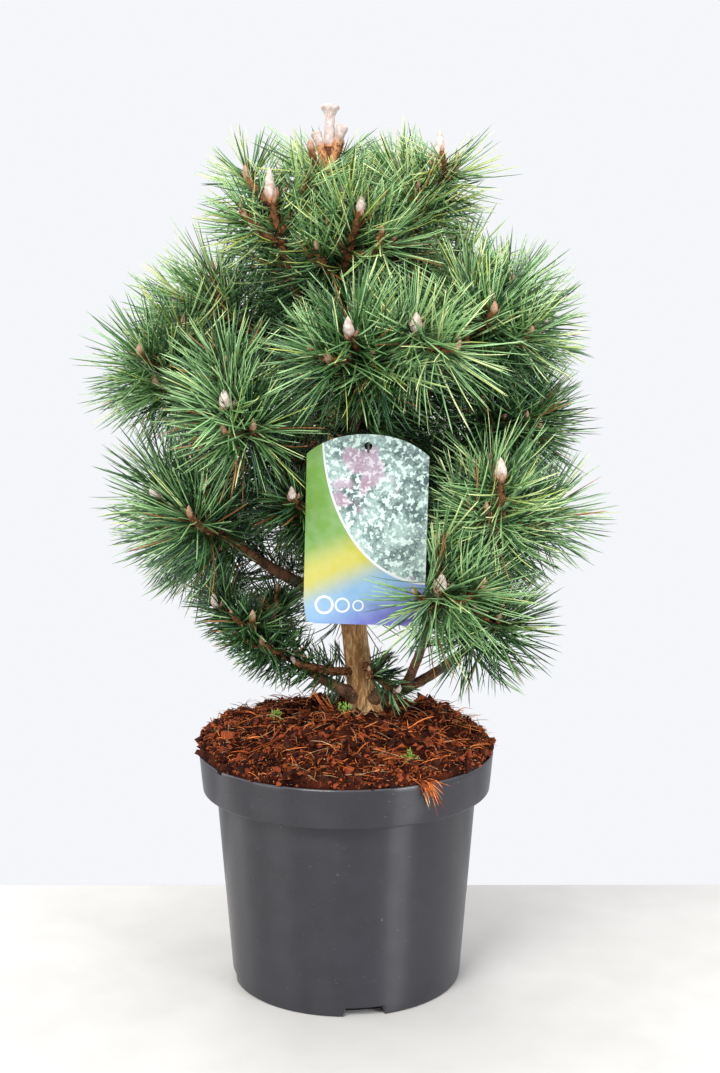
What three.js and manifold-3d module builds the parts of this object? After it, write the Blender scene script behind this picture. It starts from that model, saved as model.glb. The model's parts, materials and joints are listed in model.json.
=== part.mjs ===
// A young mugo pine in its 7.5 litre nursery pot, in millimetres, +Z up.
// The origin is the centre of the pot's flat underside, +X is to the right and +Y to the back.
// Every limb is one tapering solid, and every mass of needles is one solid of brush-like shoots.

import * as THREE from "three";
import { mergeVertices } from "three/addons/utils/BufferGeometryUtils.js";
import Module from "manifold-3d";

const wasm = await Module();
wasm.setup();

// ---------- driving dimensions ----------

const gap = 0.3; // air left between two solids that touch on the real plant

const pot = {
  height: 199,
  wall: 2,
  footRadius: 99, // outside, where the wall meets the underside
  neckRadius: 112, // outside, just under the rim band
  bandHeight: 33,
  bandRadius: 123.5, // outside, at the lower edge of the band
  rimRadius: 126.5, // outside, at the lip
  sides: 32,
};

const mix = {
  edgeRadius: 125.5, // the heap lies over the rim as far as this
  crownHeight: 226, // where the trunk comes out
  rimHeight: 205,
  lump: 2.6, // how far the lumps stand up or sink
  seat: 21, // level ground this far round the trunk
  rings: 6,
  sides: 24,
  seed: 11,
};

const trunk = {
  ground: 226.3, // the flat cut at its foot
  foot: [17.8, 18.5, 214],
  tip: [-14, 0, 650],
  flareRadius: 15,
  footRadius: 12.6,
  tipRadius: 4.2,
  flareHeight: 16,
  sides: 12,
  steps: 12,
};

const bough = { tipRadius: 3.6, sides: 6, steps: 4, bow: 0.08 };

// Boughs: where each leaves the trunk (height) or another bough (on, share of its length),
// its heading round the trunk and its rise in degrees, its length and its radius at the root.
const boughs = {
  low_left: { height: 238, aim: -148, rise: 30, long: 66, root: 6.2, bow: 0.06 },
  mid_left: { height: 322, aim: -148, rise: 28, long: 116, root: 7 },
  front_left: { height: 400, aim: -126, rise: 32, long: 124, root: 6 },
  left: { height: 430, aim: -170, rise: 33, long: 125, root: 5.6 },
  upper_left: { height: 498, aim: 179, rise: 40, long: 79, root: 5 },
  top_left: { height: 528, aim: -150, rise: 61, long: 70, root: 4.6 },
  front: { height: 440, aim: -77, rise: 35, long: 105, root: 5.6 },
  front_centre: { height: 474, aim: -60, rise: 28, long: 104, root: 5 },
  top_right: { height: 570, aim: 1, rise: 39, long: 66, root: 4.6 },
  upper_right: { height: 454, aim: -28, rise: 34, long: 125, root: 6 },
  right_upper: { height: 496, aim: -4, rise: 24, long: 103, root: 5 },
  right: { height: 396, aim: -5, rise: 32, long: 117, root: 5.6 },
  front_right: { height: 330, aim: -45, rise: 20, long: 159, root: 6.4 },
  right_low: { height: 350, aim: -23, rise: 16, long: 108, root: 5.2 },
  low_right: { height: 238, aim: -29, rise: 28, long: 107, root: 6, bow: 0.16 },
  low_front: { on: "low_right", share: 0.42, aim: -78, rise: 40, long: 110, root: 4.4 },
  low_back: { height: 256, aim: 98, rise: 30, long: 79, root: 5.4 },
  mid_back_left: { height: 318, aim: 150, rise: 22, long: 110, root: 6 },
  mid_back: { height: 336, aim: 108, rise: 24, long: 92, root: 5.4 },
  mid_back_right: { height: 338, aim: 38, rise: 24, long: 100, root: 6 },
  back_left: { height: 446, aim: 152, rise: 30, long: 90, root: 5.2 },
  back: { height: 412, aim: 90, rise: 26, long: 93, root: 5.6 },
  back_right: { height: 474, aim: 42, rise: 28, long: 80, root: 5.2 },
};

// Shoots: a woody core that ends in a bud, and the side shoots that a leader carries.
const shoot = {
  rootRadius: 3.2,
  neckRadius: 2.3, // under the bud
  budRadius: 3.2,
  bud: 12,
  sides: 4,
  pull: 0.35, // share of a leader's length for which it keeps the bough's heading
  firstAt: 0.2, // share of the leader where the lowest side shoot leaves it
  lastAt: 0.8,
  roundBy: 2.39996, // turn round the leader from one side shoot to the next, in radians
  sideLong: 50,
  lean: 54, // between a side shoot and its leader, in degrees
  elbow: 0.55, // share of a side shoot's length before it turns up
  lift: 0.35, // how strongly it turns up
};

// What a side shoot needs round it to be kept.
const room = {
  buds: 27, // from its bud to any other
  pastLeader: 10, // its bud stands no farther out of the crown than this past its leader's
  overMix: 34,
  limbs: 4,
  otherMasses: 3,
};

// Needles: one stands on each face of the core between its bare foot and its bud.
const needle = {
  long: 59,
  bareShare: 0.2, // the lowest part of a shoot has shed its needles
  ring: 16, // along the core from one ring of needles to the next
  lean: [-8, 52], // forward, in degrees, low on the core and just under the bud
  overMix: 3,
  air: 0.8, // to anything but its own shoot's mass
  give: 8, // how far it may reach into the space of the next mass
  cuts: [1, 0.8, 0.62, 0.46], // lengths to try, as shares of the full one
  sways: [0, 0.25, -0.25], // turns up or down to try with each
};

// Masses of needles: each leader starts at the tip of the bough it is named after, or at a
// height of its own on the trunk, and carries a number of side shoots.
const masses = {
  low_left: { aim: -149, rise: 37, long: 112, sides: 6, seed: 3, needle: 44 },
  mid_left: { aim: -164, rise: 32, long: 94, sides: 6, seed: 5 },
  front_left: { aim: -108, rise: 25, long: 87, sides: 4, seed: 7 },
  left: { aim: -171, rise: 27, long: 71, sides: 6, seed: 2 },
  upper_left: { aim: 177, rise: 22, long: 84, sides: 5, seed: 4 },
  top_left: { aim: -142, rise: 73, long: 98, sides: 4, seed: 6, bud: 30, needle: 50 },
  front: { aim: -97, rise: 32, long: 107, sides: 4, seed: 49 },
  front_centre: { aim: -78, rise: 24, long: 88, sides: 2, seed: 1 },
  top_right: { aim: 2, rise: 68, long: 114, sides: 5, seed: 10, bud: 34, needle: 52 },
  upper_right: { aim: -33, rise: 56, long: 72, sides: 5, seed: 12 },
  right_upper: { aim: -13, rise: 12, long: 88, sides: 6, seed: 13 },
  right: { aim: 4, rise: 22, long: 82, sides: 6, seed: 14 },
  front_right: { aim: -77, rise: 63, long: 81, sides: 4, seed: 15, bud: 18 },
  right_low: { aim: -2, rise: 17, long: 77, sides: 5, seed: 16 },
  low_right: { aim: -38, rise: 43, long: 59, sides: 4, seed: 17 },
  low_front: { aim: -84, rise: 34, long: 80, sides: 3, seed: 18 },
  low_back: { aim: 102, rise: 42, long: 89, sides: 4, seed: 19 },
  mid_back_left: { aim: 177, rise: 7, long: 88, sides: 5, seed: 20 },
  mid_back: { aim: 128, rise: 30, long: 84, sides: 4, seed: 33 },
  mid_back_right: { aim: 36, rise: 36, long: 98, sides: 5, seed: 21 },
  back_left: { aim: 154, rise: 42, long: 92, sides: 5, seed: 22 },
  back: { aim: 88, rise: 40, long: 97, sides: 5, seed: 23 },
  back_right: { aim: 34, rise: 43, long: 89, sides: 5, seed: 24 },
  foot_left: { height: 262, aim: -138, rise: 15, long: 80, sides: 3, seed: 25, needle: 27 },
  foot_right: { height: 274, aim: -50, rise: -20, long: 60, sides: 2, seed: 26, needle: 26 },
  centre_left: { height: 384, aim: -107, rise: 19, long: 143, sides: 1, seed: 27, needle: 38 },
  top_front: { height: 572, aim: -62, rise: 56, long: 104, sides: 3, seed: 1 },
  shoulder: { height: 530, aim: 7, rise: 36, long: 151, sides: 4, seed: 29 },
  upper_back: { height: 520, aim: 104, rise: 42, long: 112, sides: 5, seed: 30 },
  top_back: { height: 590, aim: 74, rise: 58, long: 96, sides: 4, seed: 31 },
  top: { height: 650, aim: -78, rise: 88, long: 57, sides: 5, seed: 36, needle: 50 },
  centre_right: { height: 368, aim: 22, rise: 44, long: 106, sides: 3, seed: 35, needle: 50 },
};

// The pale candles round the tip of the leader: the share of it where each starts, its heading,
// rise, length and half-thickness.
const candles = {
  on: "top",
  spread: [
    { from: 0.96, aim: 0, rise: 88, long: 34, radius: 6.5 },
    { from: 0.6, aim: -172, rise: 73, long: 38, radius: 4 },
    { from: 0.6, aim: -8, rise: 74, long: 43, radius: 4 },
  ],
  sides: 6,
};

const label = {
  width: 94,
  height: 148,
  thick: 0.8,
  corner: 9,
  shoulder: 16, // how far the arched top falls to its corners
  centre: [16.5, -112, 402],
  turn: 1.5, // degrees, clockwise as seen from the front
  hole: { up: 65, radius: 3 },
  air: 2, // to any shoot or needle
};

// The wire that holds the label hooks round this bough, at this share of its length.
const tie = { bough: "front", share: 0.62, radius: 0.9, sides: 6, steps: 26 };

const crownHeart = new THREE.Vector3(-6, 0, 430);

// ---------- small helpers ----------

const up = new THREE.Vector3(0, 0, 1);
const right = new THREE.Vector3(1, 0, 0);
const degrees = THREE.MathUtils.degToRad;
const between = THREE.MathUtils.lerp;

// A row of numbers between two bounds that is the same for the same seed.
function draws(seed) {
  let state = (seed * 7919 + 17) % 2147483647;
  return (low, high) => {
    state = (state * 48271) % 2147483647;
    return low + ((high - low) * state) / 2147483647;
  };
}

function heading(aim, rise) {
  const a = degrees(aim);
  const r = degrees(rise);
  return new THREE.Vector3(Math.cos(a) * Math.cos(r), Math.sin(a) * Math.cos(r), Math.sin(r));
}

function material(colour, roughness) {
  return new THREE.MeshStandardMaterial({ color: colour, roughness, metalness: 0 });
}

function bare(geometry) {
  geometry.deleteAttribute("normal");
  geometry.deleteAttribute("uv");
  return mergeVertices(geometry, 1e-4);
}

function solidOf(geometry) {
  const shape = bare(geometry);
  const triVerts = new Uint32Array(shape.index.array);
  const vertProperties = new Float32Array(shape.attributes.position.array);
  const made = new wasm.Manifold(new wasm.Mesh({ numProp: 3, vertProperties, triVerts }));
  if (made.volume() > 0) return made;
  return new wasm.Manifold(
    new wasm.Mesh({ numProp: 3, vertProperties, triVerts: triVerts.reverse() }),
  );
}

function meshOf(solid, name, look) {
  const { numProp, vertProperties, triVerts } = solid.getMesh();
  const points = new Float32Array((vertProperties.length / numProp) * 3);
  for (let i = 0; i < points.length / 3; i++) {
    points.set(vertProperties.subarray(i * numProp, i * numProp + 3), i * 3);
  }
  const geometry = new THREE.BufferGeometry()
    .setAttribute("position", new THREE.BufferAttribute(points, 3))
    .setIndex(new THREE.BufferAttribute(triVerts, 1));
  geometry.computeVertexNormals();
  const mesh = new THREE.Mesh(geometry, look);
  mesh.name = name;
  return mesh;
}

// Only the biggest body of a fused solid is kept, so no scrap and no sealed hollow stays.
// Corners closer than a hundredth of a millimetre are drawn together first.
function oneBody(solid) {
  const { numProp, vertProperties, triVerts } = solid.getMesh();
  const loose = new THREE.BufferGeometry()
    .setAttribute("position", new THREE.BufferAttribute(vertProperties, numProp))
    .setIndex(new THREE.BufferAttribute(triVerts, 1));
  const { index, attributes } = mergeVertices(loose, 1e-2);
  const drawn = new wasm.Mesh({
    numProp: 3,
    vertProperties: new Float32Array(attributes.position.array),
    triVerts: new Uint32Array(index.array),
  });
  return new wasm.Manifold(drawn).decompose().sort((a, b) => b.volume() - a.volume())[0];
}

// The axis of the frame that a curve never runs along.
function axisAside(curve) {
  const along = [0, 0.5, 1].map((t) => curve.getTangent(t).clone());
  const leaning = (axis) => Math.max(...along.map((way) => Math.abs(way.getComponent(axis))));
  const axis = [0, 1, 2].sort((a, b) => leaning(a) - leaning(b))[0];
  return new THREE.Vector3().setComponent(axis, 1);
}

// A cylinder bent along a curve, with its own radius at every share of the length.
// Each ring is turned half a side from the last when twisted, so that its faces are even.
function bentTube(curve, radiusAt, sides, steps, twisted) {
  const tube = bare(new THREE.CylinderGeometry(1, 1, 1, sides, steps));
  const places = tube.attributes.position;
  const shares = new Float32Array(places.count);
  const aside = axisAside(curve);
  const across = new THREE.Vector3();
  const beside = new THREE.Vector3();
  for (let i = 0; i < places.count; i++) {
    const t = places.getY(i) + 0.5;
    const out = Math.hypot(places.getX(i), places.getZ(i));
    const turned = twisted ? (t * steps * Math.PI) / sides : 0;
    const angle = Math.atan2(places.getZ(i), places.getX(i)) + turned;
    const along = curve.getTangent(t);
    beside.crossVectors(along, aside).normalize();
    across.crossVectors(along, beside);
    const place = curve
      .getPoint(t)
      .addScaledVector(across, Math.cos(angle) * out * radiusAt(t))
      .addScaledVector(beside, Math.sin(angle) * out * radiusAt(t));
    places.setXYZ(i, place.x, place.y, place.z);
    shares[i] = t;
  }
  tube.userData.shares = shares;
  return tube;
}

// A tube's course as short tapered lengths, to measure distances to.
function lengths(curve, radiusAt, count, owner) {
  const spans = [];
  for (let i = 0; i < count; i++) {
    const [t, u] = [i / count, (i + 1) / count];
    spans.push({
      a: curve.getPoint(t),
      b: curve.getPoint(u),
      ra: radiusAt(t),
      rb: radiusAt(u),
      owner,
    });
  }
  return spans;
}

const [d1, d2, d0] = [new THREE.Vector3(), new THREE.Vector3(), new THREE.Vector3()];

// Air between two tapered lengths, measured where their axes pass closest.
function airBetween(p, q) {
  d1.subVectors(p.b, p.a);
  d2.subVectors(q.b, q.a);
  d0.subVectors(p.a, q.a);
  const [a, e, f] = [d1.dot(d1), d2.dot(d2), d2.dot(d0)];
  const [c, b] = [d1.dot(d0), d1.dot(d2)];
  const slack = a * e - b * b;
  const clamp = THREE.MathUtils.clamp;
  let s = slack > 1e-9 ? clamp((b * f - c * e) / slack, 0, 1) : 0;
  const t = clamp((b * s + f) / e, 0, 1);
  s = clamp((b * t - c) / a, 0, 1);
  d0.addScaledVector(d1, s).addScaledVector(d2, -t);
  return d0.length() - between(p.ra, p.rb, s) - between(q.ra, q.rb, t);
}

// ---------- pot ----------

function potSolid() {
  const { height, wall, bandHeight, rimRadius, bandRadius, neckRadius, footRadius } = pot;
  const bandFoot = height - bandHeight;
  const outline = [
    [0, 0],
    [footRadius, 0],
    [neckRadius, bandFoot],
    [bandRadius, bandFoot + 1],
    [rimRadius, height],
    [rimRadius - wall, height],
    [bandRadius - wall, bandFoot + 1 + wall],
    [neckRadius - wall, bandFoot - wall],
    [footRadius - wall, wall],
    [0, wall],
  ].map(([r, z]) => new THREE.Vector2(r, z));
  return solidOf(new THREE.LatheGeometry(outline, pot.sides).rotateX(Math.PI / 2));
}

// ---------- potting mix ----------

// Height of the heap at a distance from the trunk's foot, before its lumps.
function heapHeight(x, y) {
  const out = Math.min(1, Math.hypot(x, y) / mix.edgeRadius);
  return between(mix.crownHeight, mix.rimHeight, out ** 4);
}

function mixSolid() {
  const draw = draws(mix.seed);
  const bandFoot = pot.height - pot.bandHeight;
  const inner = pot.wall + gap;
  const outline = [
    [0, inner],
    [pot.footRadius - inner - 1, inner],
    [pot.neckRadius - inner, bandFoot - inner],
    [pot.bandRadius - inner, bandFoot + 1 + inner],
    [pot.rimRadius - inner - 1, pot.height - 1],
    [mix.edgeRadius, pot.height + 1.5],
  ];
  for (let i = mix.rings; i >= 0; i--) outline.push([(mix.edgeRadius * i) / (mix.rings + 1), 400]);
  const heap = bare(
    new THREE.LatheGeometry(
      outline.map(([r, z]) => new THREE.Vector2(r, z)),
      mix.sides,
    ).rotateX(Math.PI / 2),
  );
  const places = heap.attributes.position;
  for (let i = 0; i < places.count; i++) {
    if (places.getZ(i) < pot.height + 9) continue;
    const [x, y] = [places.getX(i), places.getY(i)];
    const lump = draw(-mix.lump, mix.lump);
    const bySeat = Math.hypot(x - trunk.foot[0], y - trunk.foot[1]) < mix.seat;
    places.setZ(i, bySeat ? mix.crownHeight : heapHeight(x, y) + lump);
  }
  const top = trunk.ground - gap;
  const ceiling = new THREE.BoxGeometry(4 * mix.seat, 4 * mix.seat, 20);
  ceiling.translate(trunk.foot[0], trunk.foot[1], top + 10);
  return solidOf(heap).subtract(solidOf(ceiling));
}

// ---------- trunk and boughs ----------

// The trunk leans over at its foot and straightens towards the tip.
class TrunkCurve extends THREE.Curve {
  getPoint(t, place = new THREE.Vector3()) {
    const ease = 1 - (1 - t) * (1 - t);
    const [foot, tip] = [trunk.foot, trunk.tip];
    place.set(between(foot[0], tip[0], ease), between(foot[1], tip[1], t), 0);
    return place.setZ(between(foot[2], tip[2], t));
  }
}

const trunkCurve = new TrunkCurve();
const trunkLong = trunk.tip[2] - trunk.foot[2];

function trunkRadius(t) {
  const above = trunk.foot[2] + t * trunkLong - trunk.ground;
  const flare = Math.max(0, 1 - Math.max(0, above) / trunk.flareHeight);
  const plain = between(trunk.footRadius, trunk.tipRadius, t);
  return plain + (trunk.flareRadius - trunk.footRadius) * flare * flare;
}

const onTrunk = (height) => (height - trunk.foot[2]) / trunkLong;

// Limbs by name: their curve, their radius along it, and the shape that others are cut clear of.
const limbs = { trunk: { curve: trunkCurve, radiusAt: trunkRadius } };

function growBough(name, size) {
  const parent = limbs[size.on ?? "trunk"];
  const start = parent.curve.getPoint(size.share ?? onTrunk(size.height));
  const end = start.clone().addScaledVector(heading(size.aim, size.rise), size.long);
  const sag = (size.bow ?? bough.bow) * size.long;
  const bend = start.clone().lerp(end, 0.5).addScaledVector(up, -sag);
  const curve = new THREE.QuadraticBezierCurve3(start, bend, end);
  const radiusAt = (t) => between(size.root, bough.tipRadius, t);
  limbs[name] = { curve, radiusAt, parent: size.on ?? "trunk" };
}

function limbSolid(name, extra = 0) {
  const { curve, radiusAt } = limbs[name];
  const [sides, steps] = name === "trunk" ? [trunk.sides, trunk.steps] : [bough.sides, bough.steps];
  const limb = solidOf(bentTube(curve, (t) => radiusAt(t) + extra, sides, steps));
  if (name !== "trunk") return limb;
  const ground = new THREE.BoxGeometry(100, 100, 40);
  return limb.subtract(solidOf(ground.translate(trunk.foot[0], trunk.foot[1], trunk.ground - 20)));
}

for (const [name, size] of Object.entries(boughs)) growBough(name, size);

const limbLengths = Object.entries(limbs).flatMap(([name, { curve, radiusAt }]) =>
  lengths(curve, radiusAt, name === "trunk" ? 24 : 8, name),
);

// ---------- label and its tie ----------

const labelTurn = new THREE.Matrix4()
  .makeRotationX(Math.PI / 2)
  .premultiply(new THREE.Matrix4().makeRotationY(degrees(label.turn)))
  .setPosition(...label.centre);

function labelSolid() {
  const { width, height, thick, corner, shoulder, hole } = label;
  const [w, h] = [width / 2, height / 2];
  const outline = new THREE.Shape();
  outline.moveTo(-w + corner, -h);
  outline.lineTo(w - corner, -h);
  outline.quadraticCurveTo(w, -h, w, -h + corner);
  outline.lineTo(w, h - shoulder);
  outline.quadraticCurveTo(w * 0.62, h, 0, h);
  outline.quadraticCurveTo(-w * 0.62, h, -w, h - shoulder);
  outline.lineTo(-w, -h + corner);
  outline.quadraticCurveTo(-w, -h, -w + corner, -h);
  const eye = new THREE.Path().absarc(0, hole.up, hole.radius, 0, 2 * Math.PI, true);
  outline.holes.push(eye);
  const plain = { depth: thick, bevelEnabled: false, curveSegments: 6 };
  const card = new THREE.ExtrudeGeometry(outline, plain);
  return solidOf(card.translate(0, 0, -thick / 2).applyMatrix4(labelTurn));
}

// The wire hooks through the eye of the label and three quarters of the way round its bough.
function tieCurve() {
  const eye = new THREE.Vector3(0, label.hole.up + label.hole.radius - tie.radius - gap, 0);
  eye.applyMatrix4(labelTurn);
  const { curve, radiusAt } = limbs[tie.bough];
  const post = curve.getPoint(tie.share);
  const along = curve.getTangent(tie.share);
  const near = eye.clone().sub(post).projectOnPlane(along).normalize();
  const side = new THREE.Vector3().crossVectors(along, near);
  const round = radiusAt(tie.share) + tie.radius + gap;
  const points = [
    new THREE.Vector3(eye.x, eye.y - 4.5, eye.z - 7),
    new THREE.Vector3(eye.x, eye.y - 3.4, eye.z - 1.6),
    eye,
    new THREE.Vector3(eye.x, eye.y + 5, eye.z + 2.4),
  ];
  for (let turn = 75; turn <= 300; turn += 37.5) {
    const place = post.clone().addScaledVector(near, round * Math.cos(degrees(turn)));
    points.push(place.addScaledVector(side, round * Math.sin(degrees(turn))));
  }
  return new THREE.CatmullRomCurve3(points);
}

const wire = tieCurve();
const wireLengths = lengths(wire, () => tie.radius, 20, "tie");

const intoLabel = labelTurn.clone().invert();

// Whether a tapered length goes through the label, or passes it too close.
function cutsLabel(span) {
  const a = span.a.clone().applyMatrix4(intoLabel);
  const b = span.b.clone().applyMatrix4(intoLabel);
  const through = Math.abs(a.z - b.z) > 1e-6 ? THREE.MathUtils.clamp(a.z / (a.z - b.z), 0, 1) : 0;
  const place = a.lerp(b, through);
  const reach = between(span.ra, span.rb, through) + label.air;
  const over = (value, half) => Math.abs(value) < half + reach;
  return over(place.x, label.width / 2) && over(place.y, label.height / 2) && over(place.z, 0);
}

// ---------- shoots ----------

// A mass's leader carries straight on from its bough's tip, or leaves the trunk's axis.
function leaderOf(name, size) {
  const limb = size.height ? limbs.trunk : limbs[name];
  const from = size.height ? onTrunk(size.height) : 1;
  const start = limb.curve.getPoint(from);
  const end = start.clone().addScaledVector(heading(size.aim, size.rise), size.long);
  if (size.height && from < 1) {
    const bend = start.clone().lerp(end, 0.5).addScaledVector(up, -bough.bow * size.long);
    return { curve: new THREE.QuadraticBezierCurve3(start, bend, end), cut: true };
  }
  const along = limb.curve.getTangent(1);
  start.addScaledVector(along, gap);
  const bend = start.clone().addScaledVector(along, shoot.pull * size.long);
  return { curve: new THREE.QuadraticBezierCurve3(start, bend, end), cut: false };
}

const coreRadius = (t) => between(shoot.rootRadius, shoot.neckRadius, t);

// A side shoot leans out from its leader, a golden angle round from the last, and turns up.
function sideShoot(leader, index, count, draw) {
  const t = between(shoot.firstAt, shoot.lastAt, (index + draw(0.2, 0.8)) / count);
  const start = leader.getPoint(t);
  const along = leader.getTangent(t);
  const upright = Math.abs(along.z) > 0.95;
  const side = new THREE.Vector3().crossVectors(along, upright ? right : up);
  side.normalize().applyAxisAngle(along, index * shoot.roundBy + draw(-0.4, 0.4));
  const lean = degrees(shoot.lean) * draw(0.85, 1.15);
  const way = along.multiplyScalar(Math.cos(lean)).addScaledVector(side, Math.sin(lean));
  const long = shoot.sideLong * draw(0.8, 1.1);
  const bend = start.clone().addScaledVector(way, shoot.elbow * long);
  way.addScaledVector(up, shoot.lift).normalize();
  const end = start.clone().addScaledVector(way, long);
  return new THREE.QuadraticBezierCurve3(start, bend, end);
}

const shoots = [];

function addShoot(mass, curve, size, leads) {
  const spans = lengths(curve, coreRadius, 4, mass);
  const long = curve.getLength();
  const ownBud = size.bud ?? shoot.bud;
  const budLong = leads ? ownBud : Math.max(shoot.bud, 0.6 * ownBud);
  const needleLong = size.needle ?? needle.long;
  shoots.push({ mass, curve, spans, long, leads, needleLong, budLong, bud: curve.getPoint(1) });
}

// A side shoot is left out where its bud would crowd another, outgrow its leader, or where it
// would touch a limb or a shoot of another mass.
function roomFor(mass, curve, leader) {
  const bud = curve.getPoint(1);
  const spans = lengths(curve, coreRadius, 4, mass);
  const reach = leader.getPoint(1).distanceTo(crownHeart) + room.pastLeader;
  if (bud.distanceTo(crownHeart) > reach) return false;
  if (bud.z < heapHeight(bud.x, bud.y) + room.overMix) return false;
  if (shoots.some((other) => other.bud.distanceTo(bud) < room.buds)) return false;
  if (spans.some(cutsLabel)) return false;
  const closeTo = (list, air) => (span) => list.some((other) => airBetween(span, other) < air);
  if (spans.slice(1).some(closeTo([...limbLengths, ...wireLengths], room.limbs))) return false;
  const others = shoots.filter((other) => other.mass !== mass).flatMap((other) => other.spans);
  return !spans.some(closeTo(others, room.otherMasses));
}

const leaders = {};
for (const [name, size] of Object.entries(masses)) {
  leaders[name] = leaderOf(name, size);
  addShoot(name, leaders[name].curve, size, true);
}
for (const [name, size] of Object.entries(masses)) {
  const draw = draws(size.seed);
  for (let i = 0; i < size.sides; i++) {
    const curve = sideShoot(leaders[name].curve, i, size.sides, draw);
    if (roomFor(name, curve, leaders[name].curve)) addShoot(name, curve, size, false);
  }
}

// ---------- needles ----------

const farApart = 150; // no limb's length and needle that start this far apart can meet
const spikes = [];
const obstacles = [...limbLengths, ...wireLengths, ...shoots.flatMap((s) => s.spans)];

// A mass's own space is where its shoots are nearest, with a little give at the borders.
function inOwnSpace(place, mass) {
  const dot = { a: place, b: place.clone().addScaledVector(up, 0.01), ra: 0, rb: 0 };
  let [own, other] = [Infinity, Infinity];
  for (const home of shoots) {
    const air = Math.min(...home.spans.map((span) => airBetween(dot, span)));
    if (home.mass === mass) own = Math.min(own, air);
    else other = Math.min(other, air);
  }
  return own < other + needle.give;
}

// A needle fits where it keeps to its own mass's space and clear of limbs, label and neighbours.
function fits(spike, home) {
  if (spike.b.z < heapHeight(spike.b.x, spike.b.y) + needle.overMix) return false;
  if (cutsLabel(spike) || !inOwnSpace(spike.b, home.mass)) return false;
  const free = (other) => {
    if (other.shoot === home || home.spans.includes(other)) return true;
    if (other.a.distanceTo(spike.a) > farApart) return true;
    return airBetween(spike, other) > (other.owner === home.mass ? 0 : needle.air);
  };
  return obstacles.every(free) && spikes.every(free);
}

// A shoot's core with a needle standing on each face between its bare foot and its bud.
function brushSolid(home, draw) {
  const [from, to] = [needle.bareShare, 1 - home.budLong / home.long];
  const rings = Math.max(2, Math.round(((to - from) * home.long) / needle.ring));
  const shares = [0, ...Array.from({ length: rings + 1 }, (_, i) => between(from, to, i / rings)), 1];
  const steps = rings + 2;
  const at = (t) => shares[Math.round(t * steps)];
  const course = {
    getPoint: (t) => home.curve.getPoint(at(t)),
    getTangent: (t) => home.curve.getTangent(at(t)),
  };
  const radiusAt = (t) => (t > 1 - 0.5 / steps ? shoot.budRadius : coreRadius(at(t)));
  const core = bentTube(course, radiusAt, shoot.sides, steps, true);
  const places = Array.from(core.attributes.position.array);
  const corners = core.index.array;
  const faces = [];
  for (let i = 0; i < corners.length; i += 3) {
    const face = [corners[i], corners[i + 1], corners[i + 2]];
    const points = face.map((c) => new THREE.Vector3().fromArray(places, c * 3));
    const ring = face.reduce((sum, c) => sum + core.userData.shares[c] * steps, 0) / 3;
    const rise = (ring - 1) / rings;
    const spike = rise > 0 && rise < 1 ? standNeedle(home, points, rise, draw) : null;
    if (!spike) {
      faces.push(...face);
      continue;
    }
    const tip = places.length / 3;
    places.push(spike.b.x, spike.b.y, spike.b.z);
    for (let k = 0; k < 3; k++) faces.push(face[k], face[(k + 1) % 3], tip);
  }
  const brush = new THREE.BufferGeometry()
    .setAttribute("position", new THREE.Float32BufferAttribute(places, 3))
    .setIndex(faces);
  return solidOf(brush);
}

// A needle leans forward the more the nearer it stands to the bud, where rise is 1, and is
// shortened, or left out, where its full length doesn't fit.
function standNeedle(home, points, rise, draw) {
  const [p, q, r] = points;
  const foot = p.clone().add(q).add(r).divideScalar(3);
  const out = q.clone().sub(p).cross(r.clone().sub(p)).normalize();
  const forward = degrees(between(...needle.lean, rise) + draw(-9, 9));
  const along = home.curve.getTangent(1).multiplyScalar(Math.sin(forward));
  const way = out.clone().multiplyScalar(Math.cos(forward)).add(along).normalize();
  const full = home.needleLong * draw(0.88, 1.06);
  const thick = Math.max(...points.map((point) => point.distanceTo(foot))) * 0.55;
  for (const cut of needle.cuts) {
    for (const sway of needle.sways) {
      const turned = way.clone().addScaledVector(up, sway).normalize();
      const tip = foot.clone().addScaledVector(turned, full * cut);
      const spike = { a: foot, b: tip, ra: thick, rb: 0, owner: home.mass, shoot: home };
      if (turned.dot(out) > 0.5 && fits(spike, home)) {
        spikes.push(spike);
        return spike;
      }
    }
  }
  return null;
}

// Candles rise out of the leader, a little bowed, and are thickest from halfway up.
function candleSolids(home) {
  return candles.spread.map(({ from, aim, rise, long, radius }) => {
    const start = home.curve.getPoint(from);
    const end = start.clone().addScaledVector(heading(aim, rise), long);
    const bend = start.clone().lerp(end, 0.4).addScaledVector(up, 0.12 * long);
    const curve = new THREE.QuadraticBezierCurve3(start, bend, end);
    const radiusAt = (t) => between(0.45, 1, Math.min(1, 1.4 * t)) * radius;
    return solidOf(bentTube(curve, radiusAt, candles.sides, 3));
  });
}

// ---------- assembly ----------

const plant = new THREE.Group();

const bark = material(0xa5764a, 0.85);
const needleGreen = material(0x3f6b34, 0.6);

plant.add(meshOf(potSolid(), "pot", material(0x4b4b50, 0.45)));
plant.add(meshOf(mixSolid(), "potting_mix", material(0x6b3a22, 0.95)));
plant.add(meshOf(limbSolid("trunk"), "trunk", bark));

for (const name of Object.keys(boughs)) {
  const clear = limbSolid(limbs[name].parent, gap);
  let solid = limbSolid(name).subtract(clear);
  if (limbs[name].parent !== "trunk") solid = solid.subtract(limbSolid("trunk", gap));
  plant.add(meshOf(oneBody(solid), "bough_" + name, bark.clone()));
}

const trunkClear = limbSolid("trunk", gap);
for (const [name, size] of Object.entries(masses)) {
  const draw = draws(size.seed + 500);
  let solid = null;
  for (const home of shoots.filter((s) => s.mass === name)) {
    const brush = brushSolid(home, draw);
    solid = solid ? solid.add(brush) : brush;
    if (name !== candles.on || !home.leads) continue;
    for (const candle of candleSolids(home)) solid = solid.add(candle);
  }
  if (leaders[name].cut) solid = solid.subtract(trunkClear);
  plant.add(meshOf(oneBody(solid), "needles_" + name, needleGreen.clone()));
}

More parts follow.
